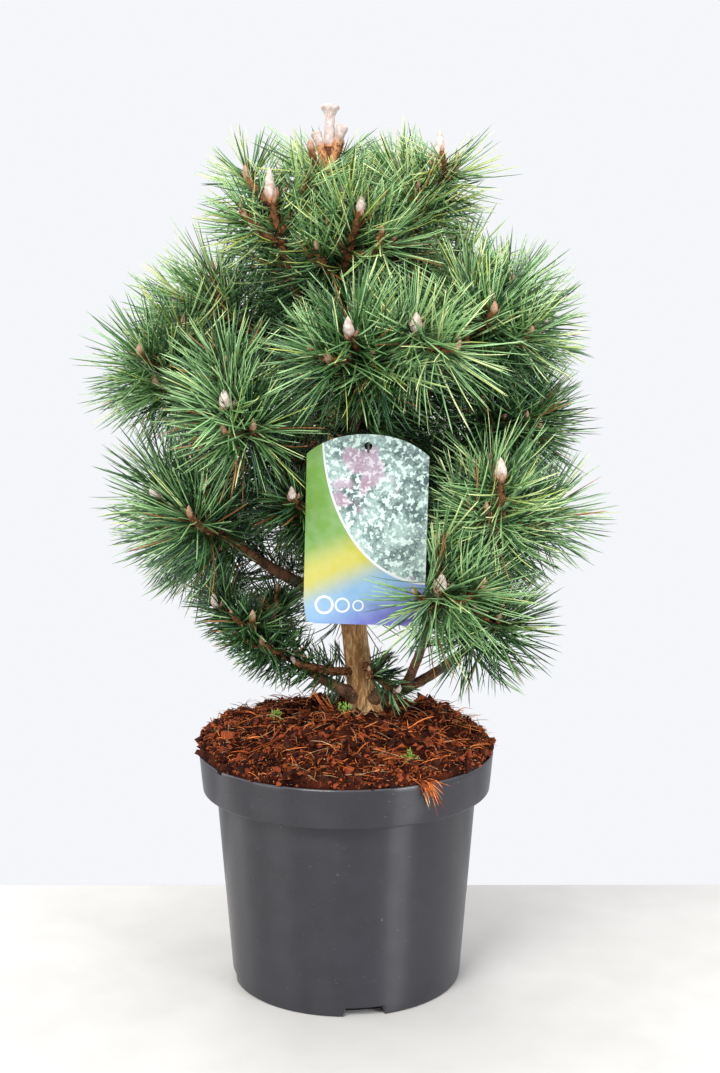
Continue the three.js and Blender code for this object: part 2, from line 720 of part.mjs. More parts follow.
plant.add(meshOf(labelSolid(), "label", material(0x8fb8a0, 0.35)));
const wireSolid = solidOf(bentTube(wire, () => tie.radius, tie.sides, tie.steps));
plant.add(meshOf(wireSolid, "label_tie", material(0x2c2a28, 0.5)));

export default plant;
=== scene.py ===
import json
import math
import bpy
import numpy as np
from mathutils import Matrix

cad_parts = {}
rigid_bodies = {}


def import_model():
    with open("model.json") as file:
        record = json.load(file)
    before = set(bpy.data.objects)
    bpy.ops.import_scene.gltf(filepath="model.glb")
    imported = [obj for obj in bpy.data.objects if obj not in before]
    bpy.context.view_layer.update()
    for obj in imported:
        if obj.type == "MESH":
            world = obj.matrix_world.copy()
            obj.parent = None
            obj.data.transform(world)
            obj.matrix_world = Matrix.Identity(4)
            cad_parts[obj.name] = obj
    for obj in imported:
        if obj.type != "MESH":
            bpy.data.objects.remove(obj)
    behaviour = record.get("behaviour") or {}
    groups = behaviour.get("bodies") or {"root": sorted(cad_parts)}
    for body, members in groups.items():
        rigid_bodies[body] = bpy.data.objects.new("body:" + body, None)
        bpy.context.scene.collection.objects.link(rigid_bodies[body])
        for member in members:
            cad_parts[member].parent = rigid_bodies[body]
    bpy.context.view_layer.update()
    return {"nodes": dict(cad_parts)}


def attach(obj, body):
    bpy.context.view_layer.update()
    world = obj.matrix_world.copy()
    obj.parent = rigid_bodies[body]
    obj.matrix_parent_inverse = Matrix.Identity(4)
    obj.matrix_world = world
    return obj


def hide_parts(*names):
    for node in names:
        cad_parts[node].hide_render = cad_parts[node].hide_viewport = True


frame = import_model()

# Lengths are in millimetres up to the moment when a piece's mesh is made.
mm = 0.001
print("frame: %d nodes" % len(frame["nodes"]))


# Camera, lights and sky.
studio = {
    "camera": (11.8, -1253.0, 546.0),
    "pitch": 7.44,  # degrees below level
    "lens": 50.0,
    "skyColour": (0.95, 0.965, 1.0),
    "skyStrength": 0.60,
    "wallTone": 0.96,  # how bright the sky looks to the camera itself
    # name: (place, aimed at, width, height, watts, colour)
    "lamps": {
        "keyLamp": ((-700, -1500, 1750), (0, 0, 420), 800, 700, 44, (1.0, 0.985, 0.96)),
        "fillLamp": ((1230, -1210, 560), (0, 0, 250), 560, 1100, 25, (0.96, 0.98, 1.0)),
        "sideLamp": ((-1650, 380, 700), (0, 0, 330), 300, 1500, 6, (1.0, 1.0, 1.0)),
        "leftLamp": ((-1420, -860, 420), (0, 0, 190), 700, 900, 7, (1.0, 1.0, 1.0)),
        "topLamp": ((100, 150, 1900), (0, 0, 500), 1300, 1300, 20, (1.0, 1.0, 1.0)),
        "backLamp": ((-500, 1500, 1200), (0, 0, 450), 1000, 1000, 9, (1.0, 1.0, 1.0)),
    },
}


def placed(name, data, place, turn):
    # a new object in the scene, at a place in millimetres
    thing = bpy.data.objects.new(name, data)
    thing.location = [c * mm for c in place]
    thing.rotation_euler = turn
    bpy.context.scene.collection.objects.link(thing)
    return thing


def setStudio():
    # the camera, lamps turned to what they light, and a sky that is brighter to the camera than to the plant
    scene = bpy.context.scene
    scene.view_settings.view_transform = "Standard"
    cameraData = bpy.data.cameras.new("camera")
    cameraData.lens = studio["lens"]
    cameraData.sensor_width = 36.0
    scene.camera = placed("camera", cameraData, studio["camera"], (math.radians(90 - studio["pitch"]), 0, 0))
    for name, (place, aim, width, height, watts, colour) in studio["lamps"].items():
        lampData = bpy.data.lights.new(name, "AREA")
        lampData.shape = "RECTANGLE"
        lampData.size = width * mm
        lampData.size_y = height * mm
        lampData.energy = watts
        lampData.color = colour
        x, y, z = np.array(aim, float) - np.array(place, float)
        placed(name, lampData, place, (math.atan2(math.hypot(x, y), -z), 0, math.atan2(y, x) - math.pi / 2))
    world = bpy.data.worlds.new("sky")
    world.use_nodes = True
    tree = world.node_tree
    sky, wall = tree.nodes["Background"], tree.nodes.new("ShaderNodeBackground")
    for background, strength in ((sky, studio["skyStrength"]), (wall, studio["wallTone"])):
        background.inputs["Color"].default_value = (*studio["skyColour"], 1)
        background.inputs["Strength"].default_value = strength
    rays, choice = tree.nodes.new("ShaderNodeLightPath"), tree.nodes.new("ShaderNodeMixShader")
    links = (rays.outputs["Is Camera Ray"], sky.outputs[0], wall.outputs[0])
    for output, socket in zip(links, choice.inputs):
        tree.links.new(output, socket)
    tree.links.new(choice.outputs[0], tree.nodes["World Output"].inputs["Surface"])
    scene.world = world


setStudio()
print("studio: camera and %d lamps" % len(studio["lamps"]))

cross = np.cross
golden = 2.39996  # the golden angle in radians


def lerp(a, b, t):
    # a where t is 0, b where t is 1, straight between
    return a + (b - a) * t


def unit(v):
    # the same direction, one long
    return v / np.maximum(np.linalg.norm(v, axis=-1, keepdims=True), 1e-9)


def spin(v, axis, angle):
    # Rodrigues: v cos a + (axis x v) sin a + axis (axis . v)(1 - cos a)
    c, s = np.cos(angle), np.sin(angle)
    return v * c + cross(axis, v) * s + axis * (v @ axis) * (1 - c)


def heading(aim, rise):
    # a unit vector by compass angle and rise in degrees
    a, r = math.radians(aim), math.radians(rise)
    return np.array([math.cos(a) * math.cos(r), math.sin(a) * math.cos(r), math.sin(r)])


def roundAngles(count):
    # so many even steps round a circle
    return np.arange(count) * 2 * math.pi / count


def makeDraw(seed):
    # state = state * 48271 mod (2^31 - 1), spread over low to high
    state = [(seed * 7919 + 17) % 2147483647]

    def draw(low, high):
        state[0] = state[0] * 48271 % 2147483647
        return low + (high - low) * state[0] / 2147483647

    return draw


lattice = np.random.default_rng(7).random((32, 32, 32))


def cloudNoise(x, y, z):
    # value noise from -1 to 1: the eight random numbers round each point, blended by f*f*(3 - 2f)
    places = np.stack(np.broadcast_arrays(x, y, z), -1)
    cell = np.floor(places).astype(int)
    f = places - cell
    x, y, z = np.moveaxis(f * f * (3 - 2 * f), -1, 0)

    def corner(i, j, k):
        return lattice[(cell[..., 0] + i) % 32, (cell[..., 1] + j) % 32, (cell[..., 2] + k) % 32]

    low, lowY, high, highY = [lerp(corner(0, j, k), corner(1, j, k), x) for k in (0, 1) for j in (0, 1)]
    return 2 * lerp(lerp(low, lowY, y), lerp(high, highY, y), z) - 1


class Bend:
    # a quadratic Bezier: (1-t)^2 a + 2t(1-t) b + t^2 c
    def __init__(self, a, b, c):
        self.a, self.b, self.c = a, b, c

    def at(self, t):
        t = np.asarray(t, float)[..., None]
        return (1 - t) ** 2 * self.a + 2 * t * (1 - t) * self.b + t**2 * self.c

    def along(self, t):
        t = np.asarray(t, float)[..., None]
        return unit(2 * (1 - t) * (self.b - self.a) + 2 * t * (self.c - self.b))

    def long(self):
        steps = self.at(np.linspace(0, 1, 65))
        return float(np.linalg.norm(np.diff(steps, axis=0), axis=1).sum())


def gridFaces(rows, columns, closedRound=True):
    # quads between neighbouring rows and columns of a grid, wrapped round where it closes
    span = columns if closedRound else columns - 1
    r, c = np.meshgrid(np.arange(rows - 1), np.arange(span), indexing="ij")
    a, b = r * columns + c, r * columns + (c + 1) % columns
    return np.stack([a, b, b + columns, a + columns], -1).reshape(-1, 4)


def capped(rings, ends, uv, endUv):
    # a grid of rings, closed at both ends by a fan of triangles round a point
    rows, columns = rings.shape[:2]
    c, last = np.arange(columns), (rows - 1) * columns
    n = (c + 1) % columns
    foot = np.stack([np.full(columns, rows * columns), n, c], -1)
    tip = np.stack([np.full(columns, rows * columns + 1), last + c, last + n], -1)
    return {"verts": np.concatenate([rings.reshape(-1, 3), ends]), "quads": gridFaces(rows, columns),
            "tris": np.concatenate([foot, tip]), "uv": np.concatenate([uv.reshape(-1, 2), endUv])}


def tube(path, radius, sides):
    # rings round a path: path(s) + r(s, a) (cos a * across - sin a * beside)
    along = unit(np.gradient(path, axis=0))
    aside = np.eye(3)[np.argmin(np.abs(along).max(axis=0))]
    beside = unit(cross(along, aside))
    across = cross(along, beside)
    angle = roundAngles(sides)
    radius = np.broadcast_to(radius, (len(path), sides))
    out = np.cos(angle)[None, :, None] * across[:, None] - np.sin(angle)[None, :, None] * beside[:, None]
    rings = path[:, None] + radius[..., None] * out
    share = np.linspace(0, 1, len(path))[:, None]
    uv = np.stack(np.broadcast_arrays(share, (angle / (2 * math.pi))[None]), -1)
    return capped(rings, [path[0], path[-1]], uv, [[0, 0.5], [1, 0.5]])


def turned(radius, height, angles):
    # rings of radius r(row, angle) at height z(row, angle) round the pot's axis
    rings = np.stack([radius * np.cos(angles), radius * np.sin(angles), height + 0 * radius], -1)
    ends = [[0, 0, rings[0, :, 2].mean()], [0, 0, rings[-1, :, 2].mean()]]
    share = np.linspace(0, 1, len(rings))[:, None]
    uv = np.stack(np.broadcast_arrays(angles[None] / (2 * math.pi), share), -1)
    return capped(rings, ends, uv, [[0.5, 0], [0.5, 1]])


def joined(parts):
    # several surfaces as one: their vertices in a row, their faces shifted along
    shift = np.cumsum([0] + [len(p["verts"]) for p in parts[:-1]])

    def faces(key, width):
        none = np.empty((0, width))
        shifted = [np.asarray(p.get(key, none), int).reshape(-1, width) + s for p, s in zip(parts, shift)]
        return np.concatenate(shifted)

    verts, uv = [np.concatenate([p[key] for p in parts]) for key in ("verts", "uv")]
    return verts, faces("quads", 4), faces("tris", 3), uv


def makePiece(name, parts, look, nodes=(), smooth=True):
    # one object in metres from its surfaces; nodes is None for the table, which isn't part of the plant
    verts, quads, tris, uv = joined(parts)
    corners = np.concatenate([quads.ravel(), tris.ravel()]).astype(np.int32)
    starts = np.concatenate([np.arange(len(quads)) * 4, 4 * len(quads) + np.arange(len(tris)) * 3])
    mesh = bpy.data.meshes.new(name)
    mesh.vertices.add(len(verts))
    mesh.vertices.foreach_set("co", (verts * mm).astype(np.float32).ravel())
    mesh.loops.add(len(corners))
    mesh.loops.foreach_set("vertex_index", corners)
    mesh.polygons.add(len(starts))
    mesh.polygons.foreach_set("loop_start", starts.astype(np.int32))
    mesh.polygons.foreach_set("use_smooth", np.full(len(starts), smooth))
    mesh.update(calc_edges=True)
    uvLayer = mesh.uv_layers.new(name="UVMap")
    uvLayer.data.foreach_set("uv", uv[corners].astype(np.float32).ravel())
    mesh.validate()
    mesh.materials.append(look)
    piece = placed(name, mesh, (0, 0, 0), (0, 0, 0))
    if nodes is not None:
        if nodes:
            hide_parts(*nodes)
        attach(piece, "root")
    print("%s: %d triangles" % (name, 2 * len(quads) + len(tris)))
    return piece


# The plant's plan. Its limbs and shoots follow the same rule as the solids they stand for.
pot = {
    "height": 199.0, "wall": 2.0, "footRadius": 99.0, "neckRadius": 112.0,
    "bandHeight": 33.0, "bandRadius": 123.5, "rimRadius": 126.5,
}
heap = {"edgeRadius": 125.5, "crownHeight": 226.0, "rimHeight": 205.0}
trunk = {
    "ground": 226.3, "foot": (17.8, 18.5, 214.0), "tip": (-14.0, 0.0, 650.0),
    "flareRadius": 15.0, "footRadius": 12.6, "tipRadius": 4.2, "flareHeight": 16.0,
}
boughRule = {"tipRadius": 3.6, "bow": 0.08}

# Where each bough leaves the trunk (height) or another bough (on, share), its heading and rise.
boughs = {
    "low_left": dict(height=238, aim=-148, rise=30, long=66, root=6.2, bow=0.06),
    "mid_left": dict(height=322, aim=-148, rise=28, long=116, root=7),
    "front_left": dict(height=400, aim=-126, rise=32, long=124, root=6),
    "left": dict(height=430, aim=-170, rise=33, long=125, root=5.6),
    "upper_left": dict(height=498, aim=179, rise=40, long=79, root=5),
    "top_left": dict(height=528, aim=-150, rise=61, long=70, root=4.6),
    "front": dict(height=440, aim=-77, rise=35, long=105, root=5.6),
    "front_centre": dict(height=474, aim=-60, rise=28, long=104, root=5),
    "top_right": dict(height=570, aim=1, rise=39, long=66, root=4.6),
    "upper_right": dict(height=454, aim=-28, rise=34, long=125, root=6),
    "right_upper": dict(height=496, aim=-4, rise=24, long=103, root=5),
    "right": dict(height=396, aim=-5, rise=32, long=117, root=5.6),
    "front_right": dict(height=330, aim=-45, rise=20, long=159, root=6.4),
    "right_low": dict(height=350, aim=-23, rise=16, long=108, root=5.2),
    "low_right": dict(height=238, aim=-29, rise=28, long=107, root=6, bow=0.16),
    "low_front": dict(on="low_right", share=0.42, aim=-78, rise=40, long=110, root=4.4),
    "low_back": dict(height=256, aim=98, rise=30, long=79, root=5.4),
    "mid_back_left": dict(height=318, aim=150, rise=22, long=110, root=6),
    "mid_back": dict(height=336, aim=108, rise=24, long=92, root=5.4),
    "mid_back_right": dict(height=338, aim=38, rise=24, long=100, root=6),
    "back_left": dict(height=446, aim=152, rise=30, long=90, root=5.2),
    "back": dict(height=412, aim=90, rise=26, long=93, root=5.6),
    "back_right": dict(height=474, aim=42, rise=28, long=80, root=5.2),
}

shootRule = {
    "rootRadius": 3.2, "neckRadius": 2.3, "pull": 0.35, "firstAt": 0.2, "lastAt": 0.8,
    "roundBy": golden, "sideLong": 50.0, "lean": 54.0, "elbow": 0.55, "lift": 0.35,
}
roomRule = {"buds": 27.0, "pastLeader": 10.0, "overMix": 34.0, "limbs": 4.0, "otherMasses": 3.0}

# The leader of each mass of needles, and how many side shoots it may carry. Some start on the trunk, at a
# height. Bud and needles have their usual length unless it is given here.
masses = {
    "low_left": dict(aim=-149, rise=37, long=112, sides=6, seed=3, needle=44),
    "mid_left": dict(aim=-164, rise=32, long=94, sides=6, seed=5),
    "front_left": dict(aim=-108, rise=25, long=87, sides=4, seed=7),
    "left": dict(aim=-171, rise=27, long=71, sides=6, seed=2),
    "upper_left": dict(aim=177, rise=22, long=84, sides=5, seed=4),
    "top_left": dict(aim=-142, rise=73, long=98, sides=4, seed=6, bud=30, needle=50),
    "front": dict(aim=-97, rise=32, long=107, sides=4, seed=49),
    "front_centre": dict(aim=-78, rise=24, long=88, sides=2, seed=1),
    "top_right": dict(aim=2, rise=68, long=114, sides=5, seed=10, bud=34, needle=52),
    "upper_right": dict(aim=-33, rise=56, long=72, sides=5, seed=12),
    "right_upper": dict(aim=-13, rise=12, long=88, sides=6, seed=13),
    "right": dict(aim=4, rise=22, long=82, sides=6, seed=14),
    "front_right": dict(aim=-77, rise=63, long=81, sides=4, seed=15, bud=18),
    "right_low": dict(aim=-2, rise=17, long=77, sides=5, seed=16),
    "low_right": dict(aim=-38, rise=43, long=59, sides=4, seed=17),
    "low_front": dict(aim=-84, rise=34, long=80, sides=3, seed=18),
    "low_back": dict(aim=102, rise=42, long=89, sides=4, seed=19),
    "mid_back_left": dict(aim=177, rise=7, long=88, sides=5, seed=20),
    "mid_back": dict(aim=128, rise=30, long=84, sides=4, seed=33),
    "mid_back_right": dict(aim=36, rise=36, long=98, sides=5, seed=21),
    "back_left": dict(aim=154, rise=42, long=92, sides=5, seed=22),
    "back": dict(aim=88, rise=40, long=97, sides=5, seed=23),
    "back_right": dict(aim=34, rise=43, long=89, sides=5, seed=24),
    "foot_left": dict(height=262, aim=-138, rise=15, long=80, sides=3, seed=25, needle=27),
    "foot_right": dict(height=274, aim=-50, rise=-20, long=60, sides=2, seed=26, needle=26),
    "centre_left": dict(height=384, aim=-107, rise=19, long=143, sides=1, seed=27, needle=38),
    "top_front": dict(height=572, aim=-62, rise=56, long=104, sides=3, seed=1),
    "shoulder": dict(height=530, aim=7, rise=36, long=151, sides=4, seed=29),
    "upper_back": dict(height=520, aim=104, rise=42, long=112, sides=5, seed=30),
    "top_back": dict(height=590, aim=74, rise=58, long=96, sides=4, seed=31),
    "top": dict(height=650, aim=-78, rise=88, long=57, sides=5, seed=36, needle=50),
    "centre_right": dict(height=368, aim=22, rise=44, long=106, sides=3, seed=35, needle=50),
}

label = {
    "width": 94.0, "height": 148.0, "thick": 0.8, "corner": 9.0, "shoulder": 16.0,
    "centre": (16.5, -112.0, 402.0), "turn": 1.5, "holeUp": 65.0, "holeRadius": 3.0, "air": 2.0,
}
tie = {"bough": "front", "share": 0.62, "radius": 0.9}
crownHeart = np.array([-6.0, 0.0, 430.0])
upward = np.array([0.0, 0.0, 1.0])
rightward = np.array([1.0, 0.0, 0.0])


def heapHeight(x, y):
    # crown to rim along out^4, where out is the share of the heap's radius
    out = np.minimum(1, np.hypot(x, y) / heap["edgeRadius"])
    return lerp(heap["crownHeight"], heap["rimHeight"], out**4)


class TrunkLine:
    # x eases from foot to tip as 1 - (1-t)^2, y and z run evenly
    foot, tip = np.array(trunk["foot"]), np.array(trunk["tip"])

    def at(self, t):
        t = np.asarray(t, float)
        ease = 1 - (1 - t) ** 2
        return np.stack([lerp(self.foot[0], self.tip[0], ease), lerp(self.foot[1], self.tip[1], t),
                         lerp(self.foot[2], self.tip[2], t)], -1)

    def along(self, t):
        t = np.asarray(t, float)
        step = self.tip - self.foot
        return unit(np.stack([step[0] * 2 * (1 - t), step[1] + 0 * t, step[2] + 0 * t], -1))


trunkLong = trunk["tip"][2] - trunk["foot"][2]


def onTrunk(height):
    # a height as a share of the trunk's length
    return (height - trunk["foot"][2]) / trunkLong


def trunkRadius(t):
    # foot to tip evenly, with a flare that grows by the square towards the ground
    above = trunk["foot"][2] + t * trunkLong - trunk["ground"]
    flare = np.maximum(0, 1 - np.maximum(0, above) / trunk["flareHeight"])
    plain = lerp(trunk["footRadius"], trunk["tipRadius"], t)
    return plain + (trunk["flareRadius"] - trunk["footRadius"]) * flare**2


limbs = {"trunk": {"line": TrunkLine(), "radius": trunkRadius}}
for name, size in boughs.items():
    parent = limbs[size.get("on", "trunk")]["line"]
    start = parent.at(size["share"] if "share" in size else onTrunk(size["height"]))
    end = start + heading(size["aim"], size["rise"]) * size["long"]
    bend = lerp(start, end, 0.5) - upward * size.get("bow", boughRule["bow"]) * size["long"]
    radius = lambda t, root=size["root"]: lerp(root, boughRule["tipRadius"], t)
    limbs[name] = {"line": Bend(start, bend, end), "radius": radius, "parent": size.get("on", "trunk"),
                   "long": size["long"], "root": size["root"]}


def spansOf(line, radius, count):
    # a limb's course as short tapered lengths: starts, ends, radii
    t = np.linspace(0, 1, count + 1)
    places, radii = line.at(t), radius(t)
    return places[:-1], places[1:], radii[:-1], radii[1:]


def stacked(lists):
    # several sets of lengths as one
    return [np.concatenate(column) for column in zip(*lists)]


def airBetween(p, q):
    # air between tapered lengths where their axes pass closest, every p with every q
    pa, pb, pra, prb = [v[:, None] for v in p]
    qa, qb, qra, qrb = [v[None] for v in q]
    d1, d2, d0 = pb - pa, qb - qa, pa - qa
    a, e, f = (d1 * d1).sum(-1), (d2 * d2).sum(-1), (d2 * d0).sum(-1)
    c, b = (d1 * d0).sum(-1), (d1 * d2).sum(-1)
    slack = a * e - b * b
    s = np.where(slack > 1e-9, np.clip((b * f - c * e) / np.where(slack > 1e-9, slack, 1), 0, 1), 0)
    t = np.clip((b * s + f) / e, 0, 1)
    s = np.clip((b * t - c) / a, 0, 1)
    gap = np.linalg.norm(d0 + d1 * s[..., None] - d2 * t[..., None], axis=-1)
    return gap - lerp(pra, prb, s) - lerp(qra, qrb, t)


limbSpans = stacked([spansOf(l["line"], l["radius"], 24 if n == "trunk" else 8) for n, l in limbs.items()])

# The label hangs upright, turned a little clockwise.
turn = math.radians(label["turn"])
labelTurn = np.array([[math.cos(turn), 0, math.sin(turn)], [0, 1, 0], [-math.sin(turn), 0, math.cos(turn)]])
labelTurn = labelTurn @ np.array([[1, 0, 0], [0, 0, -1], [0, 1, 0]])
labelCentre = np.array(label["centre"])


def onLabel(places):
    # from the card's own across, up and out to the plant's frame
    return places @ labelTurn.T + labelCentre


def cutsLabel(spans, air):
    # where each length passes the label's plane, and whether that is on the card or closer than air
    a, b = (spans[0] - labelCentre) @ labelTurn, (spans[1] - labelCentre) @ labelTurn
    fall = a[:, 2] - b[:, 2]
    level = np.abs(fall) < 1e-6
    through = np.where(level, 0, np.clip(a[:, 2] / np.where(level, 1, fall), 0, 1))
    place = lerp(a, b, through[:, None])
    reach = lerp(spans[2], spans[3], through) + air
    half = np.array([label["width"] / 2, label["height"] / 2, 0])
    return (np.abs(place) < half + reach[:, None]).all(-1)


def wirePath(count):
    # a centripetal Catmull-Rom curve from the card's eye up and most of the way round its bough
    eye = onLabel(np.array([0, label["holeUp"] + label["holeRadius"] - tie["radius"] - 0.3, 0]))
    limb = limbs[tie["bough"]]
    post, along = limb["line"].at(tie["share"]), limb["line"].along(tie["share"])
    near = eye - post
    near = unit(near - along * (near @ along))
    side = cross(along, near)
    reach = limb["radius"](tie["share"]) + tie["radius"] + 0.3
    points = [eye + (0, -4.5, -7), eye + (0, -3.4, -1.6), eye, eye + (0, 5, 2.4)]
    turns = np.radians(np.arange(75, 301, 37.5))
    points += list(post + reach * (np.cos(turns)[:, None] * near + np.sin(turns)[:, None] * side))
    points = np.array([2 * points[0] - points[1], *points, 2 * points[-1] - points[-2]])
    place = np.linspace(0, len(points) - 3, count)
    i = np.minimum(place.astype(int), len(points) - 4)
    w = (place - i)[:, None]
    p0, p1, p2, p3 = [points[i + k] for k in range(4)]
    d0, d1, d2 = [np.linalg.norm(step, axis=1, keepdims=True) ** 0.5 for step in (p1 - p0, p2 - p1, p3 - p2)]
    t1 = ((p1 - p0) / d0 - (p2 - p0) / (d0 + d1) + (p2 - p1) / d1) * d1
    t2 = ((p2 - p1) / d1 - (p3 - p1) / (d1 + d2) + (p3 - p2) / d2) * d1
    return p1 + t1 * w + (3 * (p2 - p1) - 2 * t1 - t2) * w**2 + (2 * (p1 - p2) + t1 + t2) * w**3


wirePlaces = wirePath(21)
wireRadii = np.full(20, tie["radius"])
nearLimbs = stacked([limbSpans, (wirePlaces[:-1], wirePlaces[1:], wireRadii, wireRadii)])


def leaderOf(name, size):
    # straight on from the bough's tip, or out from the trunk's axis
    limb = limbs["trunk"] if "height" in size else limbs[name]
    start = limb["line"].at(onTrunk(size["height"]) if "height" in size else 1.0)
    end = start + heading(size["aim"], size["rise"]) * size["long"]
    if "height" in size and size["height"] < trunk["tip"][2]:
        return Bend(start, lerp(start, end, 0.5) - upward * boughRule["bow"] * size["long"], end)
    along = limb["line"].along(1.0)
    start = start + along * 0.3
    return Bend(start, start + along * shootRule["pull"] * size["long"], end)


def sideShoot(leader, index, count, draw, long, lean):
    # leaves its leader sideways, a golden angle round from the last, and turns up
    t = lerp(shootRule["firstAt"], shootRule["lastAt"], (index + draw(0.2, 0.8)) / count)
    start, along = leader.at(t), leader.along(t)
    side = unit(cross(along, rightward if abs(along[2]) > 0.95 else upward))
    side = spin(side, along, index * shootRule["roundBy"] + draw(-0.4, 0.4))
    lean = math.radians(lean) * draw(0.85, 1.15)
    way = along * math.cos(lean) + side * math.sin(lean)
    long = long * draw(0.8, 1.1)
    bend = start + way * shootRule["elbow"] * long
    way = unit(way + upward * shootRule["lift"])
    return Bend(start, bend, start + way * long)


def coreRadius(t):
    # evenly from root to neck
    return lerp(shootRule["rootRadius"], shootRule["neckRadius"], t)


shoots = []


def addShoot(mass, line, size, rank):
    # what the stems, buds and needles need to know of it
    shoots.append({"mass": mass, "line": line, "rank": rank, "needle": size.get("needle", 59.0),
                   "candle": size.get("bud", 12.0), "long": line.long(), "tip": line.at(1.0),
                   "spans": spansOf(line, coreRadius, 4)})


def hasRoom(mass, line, leader, buds, others):
    # its bud is clear of other buds, inside its leader's reach and over the mix, and it touches nothing
    tip = line.at(1.0)
    reach = np.linalg.norm(leader.at(1.0) - crownHeart) + roomRule["pastLeader"]
    if np.linalg.norm(tip - crownHeart) > reach:
        return False
    if tip[2] < heapHeight(tip[0], tip[1]) + roomRule["overMix"]:
        return False
    if min(np.linalg.norm(s["tip"] - tip) for s in shoots) < buds:
        return False
    spans = spansOf(line, coreRadius, 4)
    if cutsLabel(spans, label["air"]).any():
        return False
    if (airBetween([v[1:] for v in spans], nearLimbs) < roomRule["limbs"]).any():
        return False
    rest = stacked([s["spans"] for s in shoots if s["mass"] != mass])
    return not (airBetween(spans, rest) < others).any()


leaders = {name: leaderOf(name, size) for name, size in masses.items()}
for name, size in masses.items():
    addShoot(name, leaders[name], size, 0)
for name, size in masses.items():
    draw = makeDraw(size["seed"])
    for i in range(size["sides"]):
        line = sideShoot(leaders[name], i, size["sides"], draw, shootRule["sideLong"], shootRule["lean"])
        if hasRoom(name, line, leaders[name], roomRule["buds"], roomRule["otherMasses"]):
            addShoot(name, line, size, 1)
print("plan: %d limbs, %d shoots" % (len(limbs), len(shoots)))

# Finer twigs on every shoot, by the same rule.
fineRule = {
    "from": 35.0,  # shoots with shorter needles than this stay plain
    "perLeader": 1, "perSide": 1, "long": 33.0, "lean": 50.0, "buds": 17.0, "needle": 0.86,
}


def growFineTwigs():
    # short twigs on the shoots that are there, where they find room
    for index, parent in enumerate(list(shoots)):
        if parent["needle"] < fineRule["from"]:
            continue
        draw = makeDraw(2000 + index)
        count = fineRule["perSide"] if parent["rank"] else fineRule["perLeader"]
        size = {"needle": parent["needle"] * fineRule["needle"], "bud": 9.0}
        for i in range(count):
            line = sideShoot(parent["line"], i, count, draw, fineRule["long"], fineRule["lean"])
            if hasRoom(parent["mass"], line, leaders[parent["mass"]], fineRule["buds"], 1.0):
                addShoot(parent["mass"], line, size, 2)


growFineTwigs()
print("plan: %d shoots with the finer twigs" % len(shoots))


# Shader effects that several materials share.
class Tree:
    # a node tree with short ways to add a noise, a ramp, a mix of colours and a sum
    def __init__(self, tree):
        self.tree = tree

    def feed(self, socket, value):
        # a number or a colour is set on the socket, an output is linked to it
        if isinstance(value, (int, float)):
            socket.default_value = value
        elif isinstance(value, tuple):
            socket.default_value = (*value, 1)
        else:
            self.tree.links.new(value, socket)

    def noise(self, vector, scale, detail=3.0, roughness=0.55):
        noise = self.tree.nodes.new("ShaderNodeTexNoise")
        for key, value in dict(Vector=vector, Scale=scale, Detail=detail, Roughness=roughness).items():
            self.feed(noise.inputs[key], value)
        return noise.outputs["Fac"]

    def ramp(self, value, low, high):
        # 0 below low, 1 above high, smooth between
        step = self.tree.nodes.new("ShaderNodeMapRange")
        step.interpolation_type = "SMOOTHSTEP"
        for key, given in (("Value", value), ("From Min", low), ("From Max", high)):
            self.feed(step.inputs[key], given)
        return step.outputs["Result"]

    def mix(self, mask, under, over):
        mix = self.tree.nodes.new("ShaderNodeMix")
        mix.data_type = "RGBA"
        for socket, value in ((mix.inputs[0], mask), (mix.inputs[6], under), (mix.inputs[7], over)):
            self.feed(socket, value)
        return mix.outputs[2]

    def math(self, kind, a, b=0.0):
        node = self.tree.nodes.new("ShaderNodeMath")
        node.operation = kind
        self.feed(node.inputs[0], a)
        self.feed(node.inputs[1], b)
        return node.outputs[0]

    def times(self, a, b):
        return self.math("MULTIPLY", a, b)

    def rest(self, a):
        # what a leaves of 1
        return self.math("SUBTRACT", 1.0, a)


def effectGroup(name, values, outputs):
    # a group fed with a vector and with these numbers or colours
    group = bpy.data.node_groups.new(name, "ShaderNodeTree")
    group.interface.new_socket(name="Vector", in_out="INPUT", socket_type="NodeSocketVector")
    for key, value in values.items():
        kind = "NodeSocketColor" if isinstance(value, tuple) else "NodeSocketFloat"
        group.interface.new_socket(name=key, in_out="INPUT", socket_type=kind).default_value = value
    for key, kind in outputs.items():
        group.interface.new_socket(name=key, in_out="OUTPUT", socket_type="NodeSocket" + kind)
    return Tree(group), group.nodes.new("NodeGroupInput").outputs, group.nodes.new("NodeGroupOutput").inputs


def makeDriftGroup():
    # two soft noises, one nine times finer, slide the colour from dark to light
    values = {"Scale": 20.0, "Dark": (0, 0, 0, 1), "Light": (1, 1, 1, 1)}
    group, given, result = effectGroup("toneDrift", values, {"Color": "Color", "Mask": "Float"})
    broad = group.noise(given["Vector"], given["Scale"])
    fine = group.noise(given["Vector"], group.times(given["Scale"], 9.0))
    mask = group.ramp(group.math("ADD", group.times(broad, 0.6), group.times(fine, 0.4)), 0.36, 0.64)
    group.feed(result["Color"], group.mix(mask, given["Dark"], given["Light"]))
    group.feed(result["Mask"], mask)
    return group.tree


def makeFleckGroup():
    # noise over a threshold: small separate flecks
    group, given, result = effectGroup("flecks", {"Scale": 300.0, "Threshold": 0.62}, {"Mask": "Float"})
    spots = group.noise(given["Vector"], given["Scale"], 2.0, 0.6)
    edge = group.math("ADD", given["Threshold"], 0.05)
    group.feed(result["Mask"], group.ramp(spots, given["Threshold"], edge))
    return group.tree


